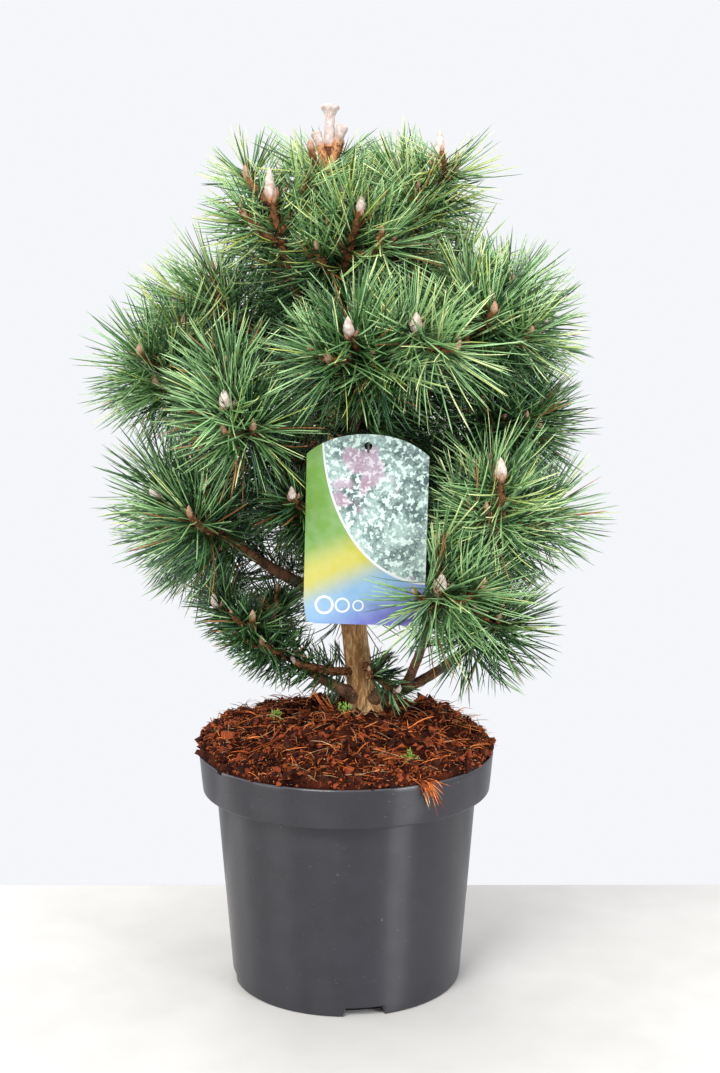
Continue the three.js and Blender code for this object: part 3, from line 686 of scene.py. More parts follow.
def makeGrainGroup():
    # a bump from fine noise
    values = {"Scale": 400.0, "Strength": 0.3, "Depth": 0.0005}
    group, given, result = effectGroup("grainNormal", values, {"Normal": "Vector"})
    bump = group.tree.nodes.new("ShaderNodeBump")
    group.feed(bump.inputs["Height"], group.noise(given["Vector"], given["Scale"]))
    group.feed(bump.inputs["Strength"], given["Strength"])
    group.feed(bump.inputs["Distance"], given["Depth"])
    group.feed(result["Normal"], bump.outputs["Normal"])
    return group.tree


effects = {"drift": makeDriftGroup(), "flecks": makeFleckGroup(), "grain": makeGrainGroup()}


class Look(Tree):
    # a Principled material with the shared effects within reach
    def __init__(self, name, roughness, stretch=(1, 1, 1), specular=0.5):
        self.material = bpy.data.materials.new(name)
        self.material.use_nodes = True
        super().__init__(self.material.node_tree)
        self.shader = self.tree.nodes["Principled BSDF"]
        self.shader.inputs["Roughness"].default_value = roughness
        self.shader.inputs["Specular IOR Level"].default_value = specular
        self.coord = self.tree.nodes.new("ShaderNodeTexCoord")
        mapping = self.tree.nodes.new("ShaderNodeMapping")
        mapping.inputs["Scale"].default_value = stretch
        self.feed(mapping.inputs["Vector"], self.coord.outputs["Object"])
        self.place = mapping.outputs["Vector"]

    def effect(self, name, **values):
        # a shared group, fed with the place in the object and with these values
        node = self.tree.nodes.new("ShaderNodeGroup")
        node.node_tree = effects[name]
        self.feed(node.inputs["Vector"], self.place)
        for key, value in values.items():
            self.feed(node.inputs[key.capitalize()], value)
        return node.outputs

    def drift(self, scale, dark, light):
        # a tone between two colours
        return self.effect("drift", scale=scale, dark=dark, light=light)["Color"]

    def flecks(self, scale, threshold, share=None):
        # a mask of flecks, at full strength or a share of it
        mask = self.effect("flecks", scale=scale, threshold=threshold)["Mask"]
        return mask if share is None else self.times(mask, share)

    def grain(self, scale, strength, depth):
        # fine bumps; ends a look and gives its material
        normal = self.effect("grain", scale=scale, strength=strength, depth=depth)["Normal"]
        self.feed(self.shader.inputs["Normal"], normal)
        return self.material

    def axis(self, output, letter):
        # one axis of the place in the object, or of the UV
        split = self.tree.nodes.new("ShaderNodeSeparateXYZ")
        self.feed(split.inputs[0], self.coord.outputs[output])
        return split.outputs[letter]

    def paint(self, colour):
        self.feed(self.shader.inputs["Base Color"], colour)
        return self

    def gloss(self, mask, low, high):
        # roughness slides from low to high with the mask
        step = self.tree.nodes.new("ShaderNodeMapRange")
        for key, value in (("Value", mask), ("To Min", low), ("To Max", high)):
            self.feed(step.inputs[key], value)
        self.feed(self.shader.inputs["Roughness"], step.outputs["Result"])


def driftLook(name, roughness, drift, grain=None, specular=0.5):
    # one tone that drifts from dark to light, with a grain if it has one
    look = Look(name, roughness, specular=specular)
    look.paint(look.drift(*drift))
    return look.grain(*grain) if grain else look.material


def shaded(colour, share):
    # the same hue, darker by the share
    return tuple(c * share for c in colour)


print("effects: %d shader groups" % len(effects))


# Table.
tableLook = {
    "half": 2600.0, "front": -2600.0, "back": 205.0, "thick": 34.0, "below": 0.2, "edge": 6.0, "steps": 30,
    "dark": (0.53, 0.515, 0.50), "light": (0.58, 0.565, 0.55),
}


def makeTable():
    # a cross-section of the top and its rounded back edge, drawn out sideways
    back, edge, steps, top = tableLook["back"], tableLook["edge"], tableLook["steps"], -tableLook["below"]
    turn = np.radians(np.linspace(0, 90, 7))
    level = np.linspace(tableLook["front"], back - edge, steps)
    y = np.concatenate([level, back - edge + edge * np.sin(turn), [back]])
    z = np.concatenate([np.full(steps, top), top - edge + edge * np.cos(turn), [-tableLook["thick"]]])
    x = np.linspace(-tableLook["half"], tableLook["half"], steps)
    verts = np.stack(np.broadcast_arrays(x[None], y[:, None], z[:, None]), -1).reshape(-1, 3)
    look = driftLook("tableTop", 0.6, (2.2, tableLook["dark"], tableLook["light"]), (240.0, 0.1, 0.0004))
    shape = {"verts": verts, "quads": gridFaces(len(y), len(x), closedRound=False), "uv": verts[:, :2] * mm}
    makePiece("tableTop", [shape], look, nodes=None)


makeTable()


# Pot.
potLook = {
    "dark": (0.0155, 0.0155, 0.0205), "light": (0.022, 0.022, 0.029), "dust": (0.26, 0.25, 0.24),
    "lipTone": (0.13, 0.13, 0.14), "columns": 240, "corner": 1.6, "lip": 1.4, "neckCorner": 1.4,
    "notches": (-81, 9, 99, 189), "notchHalf": 16.5, "notchHeight": 7.5, "notchFrom": 86.0,
    "wallRows": (0.05, 0.053, 0.062, 0.10, 0.25, 0.5, 0.75, 0.96), "bandRows": (0.3, 0.6, 0.88),
    "notchEase": 0.6,  # degrees over which a notch begins
    "stretch": 0.9, "stretchTurn": 0.25,  # how far the turned finish draws its highlights out, and which way
    # flecks are scale, threshold and share; a grain is scale, strength and depth
    "speckle": (420.0, 0.72, 0.45), "rub": (55.0, 0.68, 0.03), "grain": (900.0, 0.05, 0.0002),
    "driftScale": 6.0, "gloss": (0.27, 0.33), "lipFrom": (0.1972, 0.1990), "lipShare": 0.5,
}


def arc(centreX, centreZ, radius, first, last, count):
    # points on a circle between two angles in degrees
    a = np.radians(np.linspace(first, last, count))
    return [(centreX + radius * math.cos(x), centreZ + radius * math.sin(x)) for x in a]


def potProfile():
    # out and up from the middle of the base, over the lip and down the inside
    foot, neck, wall = pot["footRadius"], pot["neckRadius"], pot["wall"]
    band, rim, height = pot["bandRadius"], pot["rimRadius"], pot["height"]
    bandFoot = height - pot["bandHeight"]
    corner, lip, neckCorner = potLook["corner"], potLook["lip"], potLook["neckCorner"]
    notchFrom = potLook["notchFrom"]
    profile = [(20, 0), (60, 0), (notchFrom - 0.2, 0), (notchFrom, 0.01)]
    profile += arc(foot - corner, corner, corner, -90, -5, 6)
    profile += [(lerp(foot, neck, s), bandFoot * s) for s in potLook["wallRows"]]
    profile += arc(neck + neckCorner, bandFoot - neckCorner, neckCorner, 180, 90, 5)
    profile += arc(band - corner, bandFoot + corner, corner, -90, -3, 6)
    profile += [(lerp(band, rim, s), lerp(bandFoot, height, s)) for s in potLook["bandRows"]]
    profile += arc(rim - lip, height - lip, lip, 5, 175, 9)
    profile += [(band - 1.2 * wall, bandFoot + 3), (neck - wall, bandFoot - 3)]
    return np.array(profile + [(foot - wall, 11), (foot - 5, 8.6), (70, 8.4), (30, 8.4)])


def makePot():
    # the profile turned about the axis; in each notch a step of the angle lifts the foot
    profile = potProfile()
    half = math.degrees(potLook["notchHalf"] / pot["footRadius"])
    ease = potLook["notchEase"]
    edges = [n + s * (half + e) for n in potLook["notches"] for s in (-1, 1) for e in (-ease, ease)]
    angles = np.concatenate([np.arange(potLook["columns"]) * 360 / potLook["columns"], np.mod(edges, 360)])
    angles = np.radians(np.unique(np.round(angles, 4)))
    apart = [np.abs((np.degrees(angles) - n + 180) % 360 - 180) for n in potLook["notches"]]
    notch = 1 - np.clip((np.min(apart, axis=0) - half + ease) / (2 * ease), 0, 1)
    radius, height = profile[:, :1] + 0 * angles, profile[:, 1:] + 0 * angles
    foot = (profile[:, :1] >= potLook["notchFrom"]) & (profile[:, 1:] < potLook["notchHeight"])
    height = np.where(foot, np.maximum(height, potLook["notchHeight"] * notch + 0.02 * height), height)
    look = Look("potPlastic", 0.36)
    body = look.effect("drift", scale=potLook["driftScale"], dark=potLook["dark"], light=potLook["light"])
    colour = look.mix(look.flecks(*potLook["speckle"]), body["Color"], potLook["dust"])
    colour = look.mix(look.flecks(*potLook["rub"]), colour, potLook["dust"])
    lipMask = look.times(look.ramp(look.axis("Object", "Z"), *potLook["lipFrom"]), potLook["lipShare"])
    look.paint(look.mix(lipMask, colour, potLook["lipTone"])).grain(*potLook["grain"])
    look.gloss(body["Mask"], *potLook["gloss"])
    look.shader.inputs["Anisotropic"].default_value = potLook["stretch"]
    look.shader.inputs["Anisotropic Rotation"].default_value = potLook["stretchTurn"]
    makePiece("potShell", [turned(radius, height, angles)], look.material, ["pot"])


makePot()


# Potting mix: a heap of peat with chips, clods, crumbs, grit and fibres worked in.
mixLook = {
    "rings": 96, "columns": 300, "edge": 126.2,
    "lumps": ((26.0, 5.4), (9.0, 5.4), (3.2, 2.4)),  # how wide and how high
    "calm": (14.0, 42.0),  # level up to here from the trunk, fully lumpy from there
    # how many over the whole heap, how many more by its edge, and from which share of its radius
    "chips": (520, 110, 0.92), "clods": (640, 160, 0.93), "crumbs": (4000, 700, 0.93),
    "rimChips": 110, "freshChips": 18, "trunkClods": 70, "grit": 80,
    # the least size, how much is added to it, and the power that keeps most of them small
    "chipSize": (1.2, 5.4, 2.8), "rimSize": (1.0, 2.2, 2),
    "clodSize": (2.0, 3.6, 1.6), "crumbSize": (0.7, 2.0, 2),
    "peatDark": (0.005, 0.0015, 0.001), "peatLight": (0.060, 0.014, 0.006),
    "chipDark": (0.030, 0.006, 0.003), "chipLight": (0.32, 0.068, 0.022),
    "gritDark": (0.42, 0.38, 0.32), "gritLight": (0.70, 0.66, 0.58),
    "ember": (0.95, 0.270, 0.070), "rust": (0.44, 0.090, 0.026),
    "straw": (0.88, 0.56, 0.30), "umber": (0.045, 0.013, 0.007),
    "driftScale": 55.0, "darkFlecks": (260.0, 0.60), "paleFlecks": (520.0, 0.70),
    "grain": (600.0, 0.8, 0.0012),
    "ragged": 1.6, "shardCorners": (0.30, 1.0), "shardBroad": 0.42, "shardTilt": 0.6,
    "crumbCorners": (0.6, 1.25), "crumbSpread": 0.18,
    "bitGrain": (900.0, 0.5, 0.0006), "bitPatch": 0.4,  # how far a patch of drift shows over a bit's own tone
}


def lumps(x, y):
    # three clouds of noise, coarse to fine
    return sum(high * cloudNoise(x / wide + 5, y / wide + 3, wide) for wide, high in mixLook["lumps"])


def bedHeight(x, y):
    # level round the trunk, lumpy farther out
    near, far = mixLook["calm"]
    rough = np.clip((np.hypot(x - trunk["foot"][0], y - trunk["foot"][1]) - near) / (far - near), 0.15, 1)
    return heapHeight(x, y) + rough * lumps(x, y)


def onBed(x, y):
    # places on the surface of the mix
    return np.stack([x, y, bedHeight(x, y)], -1)


def makeBed():
    # the sides fill the pot up to its rim, and the top runs in from a ragged edge
    bandFoot, edge, height = pot["height"] - pot["bandHeight"], mixLook["edge"], pot["height"]
    angles = np.radians(np.arange(mixLook["columns"]) * 360 / mixLook["columns"])
    sides = np.array([(30, 9.4), (94, 9.4), (109, bandFoot - 3), (121, bandFoot + 4), (124.0, height - 3),
                      (edge - 1.6, height + 0.8), (edge, height + 3)])
    radius, high = sides[:, :1] + 0 * angles, sides[:, 1:] + 0 * angles
    ragged = mixLook["ragged"] * cloudNoise(np.cos(angles) * 14, np.sin(angles) * 14, 0)
    radius[-2:] += ragged
    rings = np.linspace(1, 0.02, mixLook["rings"])[:, None] * (edge - 0.8 + ragged)
    top = bedHeight(rings * np.cos(angles), rings * np.sin(angles))
    look = Look("pottingMix", 0.95, specular=0.05)
    colour = look.drift(mixLook["driftScale"], mixLook["peatDark"], mixLook["peatLight"])
    colour = look.mix(look.flecks(*mixLook["darkFlecks"]), colour, mixLook["chipDark"])
    colour = look.mix(look.flecks(*mixLook["paleFlecks"]), colour, mixLook["straw"])
    look.paint(colour).grain(*mixLook["grain"])
    shape = turned(np.concatenate([radius, rings]), np.concatenate([high, top]), angles)
    makePiece("pottingHeap", [shape], look.material, ["potting_mix"])


def scattered(random, count, reach=1.0, inner=0.0, clumped=0.0):
    # about evenly over a ring of the heap; clumped draws extra ones and keeps those where a noise is high
    extra = int(count * (1 + clumped))
    r = mixLook["edge"] * np.sqrt(lerp(inner**2, reach**2, random.random(extra))) ** 0.96
    r = np.minimum(r, mixLook["edge"])
    a = random.random(extra) * 2 * math.pi
    x, y = r * np.cos(a), r * np.sin(a)
    cloud = cloudNoise(x / 15 + 40, y / 15, 7) + 0.25 * random.normal(0, 1, extra)
    return onBed(x, y)[np.argsort(-cloud)[:count]]


def strewn(random, kind):
    # some over the whole heap, more by its edge
    count, more, inner = mixLook[kind]
    return np.concatenate([scattered(random, count), scattered(random, more, inner=inner)])


def sized(random, kind, places):
    # least + more r^power
    least, more, power = mixLook[kind]
    return least + more * random.random(len(places)) ** power


def repeated(verts, faces, key, uv):
    # one shape's faces for every copy of its vertices, all with the copy's own UV
    count, each = verts.shape[:2]
    faces = (np.array(faces)[None] + each * np.arange(count)[:, None, None]).reshape(-1, len(faces[0]))
    return {"verts": verts.reshape(-1, 3), key: faces, "uv": np.repeat(uv, each, axis=0)}


def shards(random, places, size, flat):
    # boxes with every corner moved, turned and tilted at random
    n = len(places)
    corners = np.array([(x, y, z) for z in (-1, 1) for y in (-1, 1) for x in (-1, 1)], float)
    box = corners[None] * random.uniform(*mixLook["shardCorners"], (n, 8, 3)) * size[:, None, None]
    box = box * (1, mixLook["shardBroad"], flat)
    yaw, tilt = random.uniform(0, 2 * math.pi, (n, 1)), random.normal(0, mixLook["shardTilt"], (n, 1))
    x, y, z = np.moveaxis(box, -1, 0)
    x, z = x * np.cos(tilt) + z * np.sin(tilt), z * np.cos(tilt) - x * np.sin(tilt)
    x, y = x * np.cos(yaw) - y * np.sin(yaw), x * np.sin(yaw) + y * np.cos(yaw)
    verts = np.stack([x, y, z], -1) + places[:, None]
    faces = [[0, 2, 3, 1], [4, 5, 7, 6], [0, 1, 5, 4], [1, 3, 7, 5], [3, 2, 6, 7], [2, 0, 4, 6]]
    return repeated(verts, faces, "quads", np.stack([random.random(n), random.random(n)], -1))


def crumbShapes(random, places, size):
    # eight-faced lumps with every corner moved at random
    n = len(places)
    axes = np.array([(1, 0, 0), (0, 1, 0), (-1, 0, 0), (0, -1, 0), (0, 0, 1), (0, 0, -1)], float)
    verts = axes[None] * random.uniform(*mixLook["crumbCorners"], (n, 6, 3)) * size[:, None, None]
    moved = random.normal(0, mixLook["crumbSpread"], (n, 6, 3)) * size[:, None, None]
    verts = verts + moved + places[:, None]
    faces = [[0, 1, 4], [1, 2, 4], [2, 3, 4], [3, 0, 4], [1, 0, 5], [2, 1, 5], [3, 2, 5], [0, 3, 5]]
    return repeated(verts, faces, "tris", random.random((n, 2)))


def blades(random, foot, way, long, bow, width, shares=(0, 0.33, 0.66, 0.9), girths=(0.62, 1, 0.95, 0.6),
           flat=0.62, rollTo=6.0):
    # each one runs foot + way L s + bow L s^2, with a flattened three-sided section, to a point at s = 1
    n, last = len(foot), 3 * len(shares)
    roll, tint = random.uniform(0, rollTo, n)[:, None], random.random(n)
    s, girth = np.array(shares), np.array(girths)
    side = unit(cross(np.where(np.abs(way[:, 2:]) > 0.8, rightward, upward), way))
    across = np.cos(roll) * side + np.sin(roll) * cross(way, side)
    over = cross(way, across)
    path = foot[:, None] + way[:, None] * (long[:, None] * s)[..., None]
    path = path + bow[:, None] * (long[:, None] * s**2)[..., None]
    a = roundAngles(3)[None, :, None]
    rim = np.cos(a) * across[:, None] + flat * np.sin(a) * over[:, None]
    verts = path[:, :, None] + (width[:, None] * girth)[..., None, None] * rim[:, None]
    tip = foot + (way + bow) * long[:, None]
    verts = np.concatenate([verts.reshape(n, last, 3), tip[:, None]], 1)
    tris = np.array([[last, last - 3 + k, last - 3 + (k + 1) % 3] for k in range(3)] + [[2, 1, 0]])
    shift = (np.arange(n) * (last + 1))[:, None, None]
    uv = np.zeros((n, last + 1, 2))
    uv[..., 0] = np.append(np.repeat(s, 3), 1)
    uv[..., 1] = tint[:, None]
    return {"verts": verts.reshape(-1, 3), "quads": (gridFaces(len(shares), 3)[None] + shift).reshape(-1, 4),
            "tris": (tris[None] + shift).reshape(-1, 3), "uv": uv.reshape(-1, 2)}


# Fibres lie and rise every way on the heap; their section is nearly round.
fibreRule = {
    # name: tone, thickness, how many, the longest, how many hang in the tuft
    "kinds": {
        "emberFibres": ("ember", 0.50, 1500, 28, 20), "rustFibres": ("rust", 0.62, 1500, 28, 16),
        "strawFibres": ("straw", 0.34, 500, 44, 5), "umberFibres": ("umber", 0.60, 1200, 28, 0),
    },
    "clumped": 0.35, "shortest": 4, "edgeLong": (3, 9), "edgeFrom": 0.88,
    "rise": 0.15, "riseSpread": 0.62, "curl": 0.75, "bow": 0.45, "width": (0.4, 1.35),
    "depth": (-0.8, 2.6), "stray": 0.02,
    "section": {"shares": (0, 0.3, 0.6, 0.85), "girths": (0.8, 1, 0.9, 0.7), "flat": 0.9},
    # dead needles that stand in the mix by the trunk, and where their tips are
    "leaning": ((-13.0, -8.0), (-15.0, -9.0), (-6.0, -12.0), (-8.0, -13.5)),
    "leaningTips": ((-29, -9, 251), (-31, -12, 253), (-22, -12, 247), (-18, -15, 250)),
    # where a tuft hangs over the rim, how far its feet spread, how it heads and falls, length and thickness
    "tuft": (61.0, -108.0), "tuftSpread": (3.0, 2.0, 1.0), "tuftWay": (0.40, 0, -0.10), "tuftFan": 0.38,
    "tuftBow": (0.10, 0.0, -0.80), "tuftBowSpread": 0.22, "tuftLong": (7, 19), "tuftWidth": (0.35, 0.75),
}


def fibreShapes(random, places, low, high, thick):
    # bowed blades near the surface; few of those that would end past the rim are kept
    n = len(places)
    yaw = random.uniform(0, 2 * math.pi, n)
    rise = random.normal(fibreRule["rise"], fibreRule["riseSpread"], n)
    way = unit(np.stack([np.cos(yaw), np.sin(yaw), rise], -1))
    long = lerp(low, high, random.random(n) ** 2)
    bow = np.stack([-np.sin(yaw), np.cos(yaw), 0 * yaw], -1) * random.normal(0, fibreRule["curl"], n)[:, None]
    bow[:, 2] = -0.25 - rise * random.uniform(0.5, 1.2, n)
    foot = places - way * long[:, None] * 0.4
    foot[:, 2] = bedHeight(foot[:, 0], foot[:, 1]) + random.uniform(*fibreRule["depth"], n)
    width = lerp(*fibreRule["width"], random.random(n) ** 2) * thick
    tip = foot + way * long[:, None]
    out = np.maximum(np.hypot(foot[:, 0], foot[:, 1]), np.hypot(tip[:, 0], tip[:, 1]))
    kept = (out < mixLook["edge"] + 0.5) | (random.random(n) < fibreRule["stray"])
    foot, way, long, bow, width = [v[kept] for v in (foot, way, long, bow * fibreRule["bow"], width)]
    return blades(random, foot, way, long, bow, width, **fibreRule["section"])


def leaningShapes(random):
    # two pairs of long dead needles that stand in the mix against the trunk's foot
    foot = onBed(*np.array(fibreRule["leaning"]).T) - upward
    reach = np.array(fibreRule["leaningTips"]) - foot
    long = np.linalg.norm(reach, axis=1)
    return blades(random, foot, unit(reach), long, np.full(foot.shape, 0.02), np.full(len(foot), 0.85))


def tuftShapes(random, count):
    # fibres that hang over the rim in one place, fanned out and down
    x, y = fibreRule["tuft"]
    foot = np.array([x, y, pot["height"] + 2.5]) + random.normal(0, 1, (count, 3)) * fibreRule["tuftSpread"]
    out = unit(np.array([x, y, 0.0])) * 0.8 + fibreRule["tuftWay"]
    way = unit(out + random.normal(0, fibreRule["tuftFan"], (count, 3)))
    long = random.uniform(*fibreRule["tuftLong"], count)
    bow = fibreRule["tuftBow"] + random.normal(0, fibreRule["tuftBowSpread"], (count, 3))
    return blades(random, foot, way, long, bow, random.uniform(*fibreRule["tuftWidth"], count))


def litterLook(name, dark, light, scale=160.0):
    # each bit has a tone of its own, read from the second coordinate of its UV
    look = Look(name, 0.8, specular=0.12)
    body = look.mix(look.ramp(look.axis("UV", "Y"), 0.0, 1.0), dark, light)
    patch = look.drift(scale, shaded(dark, 0.7), shaded(light, 0.9))
    return look.paint(look.mix(mixLook["bitPatch"], body, patch)).grain(*mixLook["bitGrain"])


def makeBits(name, lookName, shapes, *tones):
    # one piece of loose bits with flat faces
    makePiece(name, shapes, litterLook(lookName, *tones), smooth=False)


def makeLitter():
    # all that lies loose on the heap, from the largest chips to the fibres
    random = np.random.default_rng(31)
    chips = strewn(random, "chips")
    size = sized(random, "chipSize", chips)
    chips[:, 2] += 0.15 * size
    rim = np.radians(random.uniform(0, 360, mixLook["rimChips"]))
    out = mixLook["edge"] - random.uniform(0.2, 2.2, len(rim))
    rimHeight = pot["height"] + random.uniform(1.6, 4.6, len(rim))
    rimChips = np.stack([out * np.cos(rim), out * np.sin(rim), rimHeight], -1)
    rimSize = sized(random, "rimSize", rimChips)
    shapes = [shards(random, chips, size, 0.5), shards(random, rimChips, rimSize, 0.7)]
    makeBits("barkChips", "barkChip", shapes, mixLook["chipDark"], mixLook["chipLight"], 90.0)
    fresh = scattered(random, mixLook["freshChips"], 0.95) + 1.2 * upward
    shapes = [shards(random, fresh, random.uniform(2.0, 4.6, len(fresh)), 0.35)]
    makeBits("freshChips", "freshChip", shapes, mixLook["chipLight"], shaded(mixLook["ember"], 0.75), 120.0)
    clods = strewn(random, "clods")
    a = random.uniform(0, 2 * math.pi, mixLook["trunkClods"])
    x, y = [foot + random.uniform(13, 21, len(a)) * f(a) for foot, f in zip(trunk["foot"], (np.cos, np.sin))]
    clods = np.concatenate([clods, onBed(x, y)])
    size = sized(random, "clodSize", clods)
    crumbs = strewn(random, "crumbs")
    small = sized(random, "crumbSize", crumbs)
    dark = random.random(len(crumbs)) < 0.5
    shapes = [crumbShapes(random, clods, size), crumbShapes(random, crumbs[dark], small[dark])]
    makeBits("peatCrumbs", "peatCrumb", shapes, mixLook["peatDark"], mixLook["peatLight"])
    shapes = [crumbShapes(random, crumbs[~dark], small[~dark])]
    makeBits("rustCrumbs", "rustCrumb", shapes, shaded(mixLook["rust"], 0.3), mixLook["rust"])
    grit = scattered(random, mixLook["grit"])
    shapes = [crumbShapes(random, grit, random.uniform(0.4, 0.9, len(grit)))]
    makeBits("paleGrit", "gritStone", shapes, mixLook["gritDark"], mixLook["gritLight"])
    for name, (tone, thick, count, longest, hanging) in fibreRule["kinds"].items():
        over = scattered(random, count, clumped=fibreRule["clumped"])
        parts = [fibreShapes(random, over, fibreRule["shortest"], longest, thick)]
        edge = scattered(random, count // 3, inner=fibreRule["edgeFrom"])
        parts.append(fibreShapes(random, edge, *fibreRule["edgeLong"], thick))
        if hanging:
            parts.append(tuftShapes(random, hanging))
        if tone == "ember":
            parts.append(leaningShapes(random))
        makePiece(name, parts, litterLook(name, shaded(mixLook[tone], 0.35), mixLook[tone]))


makeBed()
makeLitter()


# Sprigs of seedlings in the mix.
sprigLook = {
    "places": ((-60.0, -14.0), (-1.0, -24.0), (51.0, -93.0)), "leaves": 26, "spread": (2.4, 2.0, 0),
    "high": 7, "long": (3, 6), "width": 1.0, "dark": (0.10, 0.26, 0.03), "light": (0.30, 0.52, 0.08),
    "section": {"girths": (0.4, 1, 0.8, 0.4), "flat": 0.4},
}


def makeSprigs():
    # small leaves round each place, up to a few millimetres high
    random = np.random.default_rng(12)
    n = sprigLook["leaves"]
    parts = []
    for x, y in sprigLook["places"]:
        foot = onBed(x, y) + upward + random.normal(0, 1, (n, 3)) * sprigLook["spread"]
        foot[:, 2] += random.uniform(0, sprigLook["high"], n)
        way = unit(random.normal(0, 0.7, (n, 3)) + 0.9 * upward)
        long = random.uniform(*sprigLook["long"], n)
        width = np.full(n, sprigLook["width"])
        parts.append(blades(random, foot, way, long, np.zeros((n, 3)), width, **sprigLook["section"]))
    look = driftLook("sprigLeaf", 0.5, (200.0, sprigLook["dark"], sprigLook["light"]))
    makePiece("greenSprigs", parts, look)


makeSprigs()


# Trunk and boughs with their bark.
barkLook = {
    # step along the limb, columns round it, depth of the bark
    "trunkMesh": (1.7, 72, 0.85), "boughMesh": (2.2, 28, 0.6),
    # the foot's flutes fade out from this height, over so many millimetres
    "flare": (12, 34), "flareBy": 0.10,
    # how much a bough swells where it leaves, and how far that reaches in root radii
    "swell": 0.45, "swellReach": 1.4,
    "trunkDark": (0.270, 0.128, 0.043), "trunkLight": (0.95, 0.61, 0.29), "moss": (0.095, 0.11, 0.050),
    "boughDark": (0.040, 0.020, 0.012), "boughLight": (0.215, 0.105, 0.052), "boughFleck": (0.30, 0.15, 0.07),
    "trunkScale": 60.0, "trunkFlecks": (210.0, 0.57), "trunkGrain": (700.0, 0.5, 0.0008),
    "mossFlecks": (120.0, 0.50, 0.55), "mossBelow": (0.222, 0.250),
    "boughScale": 90.0, "boughFlecks": (330.0, 0.60), "boughGrain": (800.0, 0.6, 0.0008),
    # wide plates, fine ones and a broad swell: how wide, and how far the noise is shifted
    "plates": ((4.5, 0), (1.9, 11), (9, 4)), "drawnOut": 0.66,
}


def barkRelief(places, along, deep):
    # plates: noise drawn out three times along the limb, with narrow cracks where it crosses zero
    flat = places - along * (places * along).sum(-1, keepdims=True) * barkLook["drawnOut"]
    x, y, z = np.moveaxis(flat, -1, 0)
    wide, fine, broad = [cloudNoise(x / size + shift, y / size + shift, z / size + shift)
                         for size, shift in barkLook["plates"]]
    cracks = np.exp(-((wide / 0.13) ** 2)) + 0.6 * np.exp(-((fine / 0.12) ** 2))
    return deep * (0.45 * fine + 0.35 * broad - 0.5 * cracks)


def barkTube(line, long, first, mesh, radiusAt):
    # a tube with relief that fades out over its last 6 mm
    step, sides, deep = mesh
    count = int(long / step)
    t = np.linspace(first, 1, count)
    path, along = line.at(t), line.along(t)
    bare = tube(path, radiusAt(t)[:, None], sides)
    rings = bare["verts"][:-2].reshape(count, sides, 3)
    out = unit(rings - path[:, None])
    relief = barkRelief(rings, along[:, None], deep) * np.minimum(1, (1 - t[:, None]) * long / 6)
    bare["verts"][:-2] = (rings + out * relief[..., None]).reshape(-1, 3)
    return bare


def fluted(t):
    # the trunk's radius, a little more by the square towards its foot
    low, over = barkLook["flare"]
    flare = np.clip(1 - (trunkLong * t - low) / over, 0, 1)
    return trunkRadius(t) * (1 + barkLook["flareBy"] * flare**2)


def swollen(limb, t):
    # r (1 + swell e^(-x / reach)), where x is how far it has come out of the limb it leaves
    clear = limbs["trunk"]["radius"](0.2) if limb["parent"] == "trunk" else 5.0
    past = np.maximum(0, t * limb["long"] - clear)
    swell = barkLook["swell"] * np.exp(-past / (barkLook["swellReach"] * limb["root"]))
    return limb["radius"](t) * (1 + swell)


def makeLimbs():
    # trunk and boughs; their bark drifts from dark to light, with flecks, and moss at the trunk's foot
    look = Look("trunkBark", 0.8, stretch=(1, 1, 0.28), specular=0.3)
    colour = look.drift(barkLook["trunkScale"], barkLook["trunkDark"], barkLook["trunkLight"])
    colour = look.mix(look.flecks(*barkLook["trunkFlecks"]), colour, barkLook["trunkDark"])
    low = look.rest(look.ramp(look.axis("Object", "Z"), *barkLook["mossBelow"]))
    moss = look.times(low, look.flecks(*barkLook["mossFlecks"]))
    look.paint(look.mix(moss, colour, barkLook["moss"])).grain(*barkLook["trunkGrain"])
    foot = onTrunk(trunk["ground"] - 6)
    wood = barkTube(limbs["trunk"]["line"], trunkLong, foot, barkLook["trunkMesh"], fluted)
    makePiece("trunkWood", [wood], look.material, ["trunk"])
    look = Look("boughBark", 0.82, specular=0.3)
    colour = look.drift(barkLook["boughScale"], barkLook["boughDark"], barkLook["boughLight"])
    colour = look.mix(look.flecks(*barkLook["boughFlecks"]), colour, barkLook["boughFleck"])
    look.paint(colour).grain(*barkLook["boughGrain"])
    parts = [barkTube(limbs[name]["line"], limbs[name]["long"], 0.02, barkLook["boughMesh"],
                      lambda t: swollen(limbs[name], t)) for name in boughs]
    makePiece("boughWood", parts, look.material, ["bough_" + name for name in boughs])


makeLimbs()


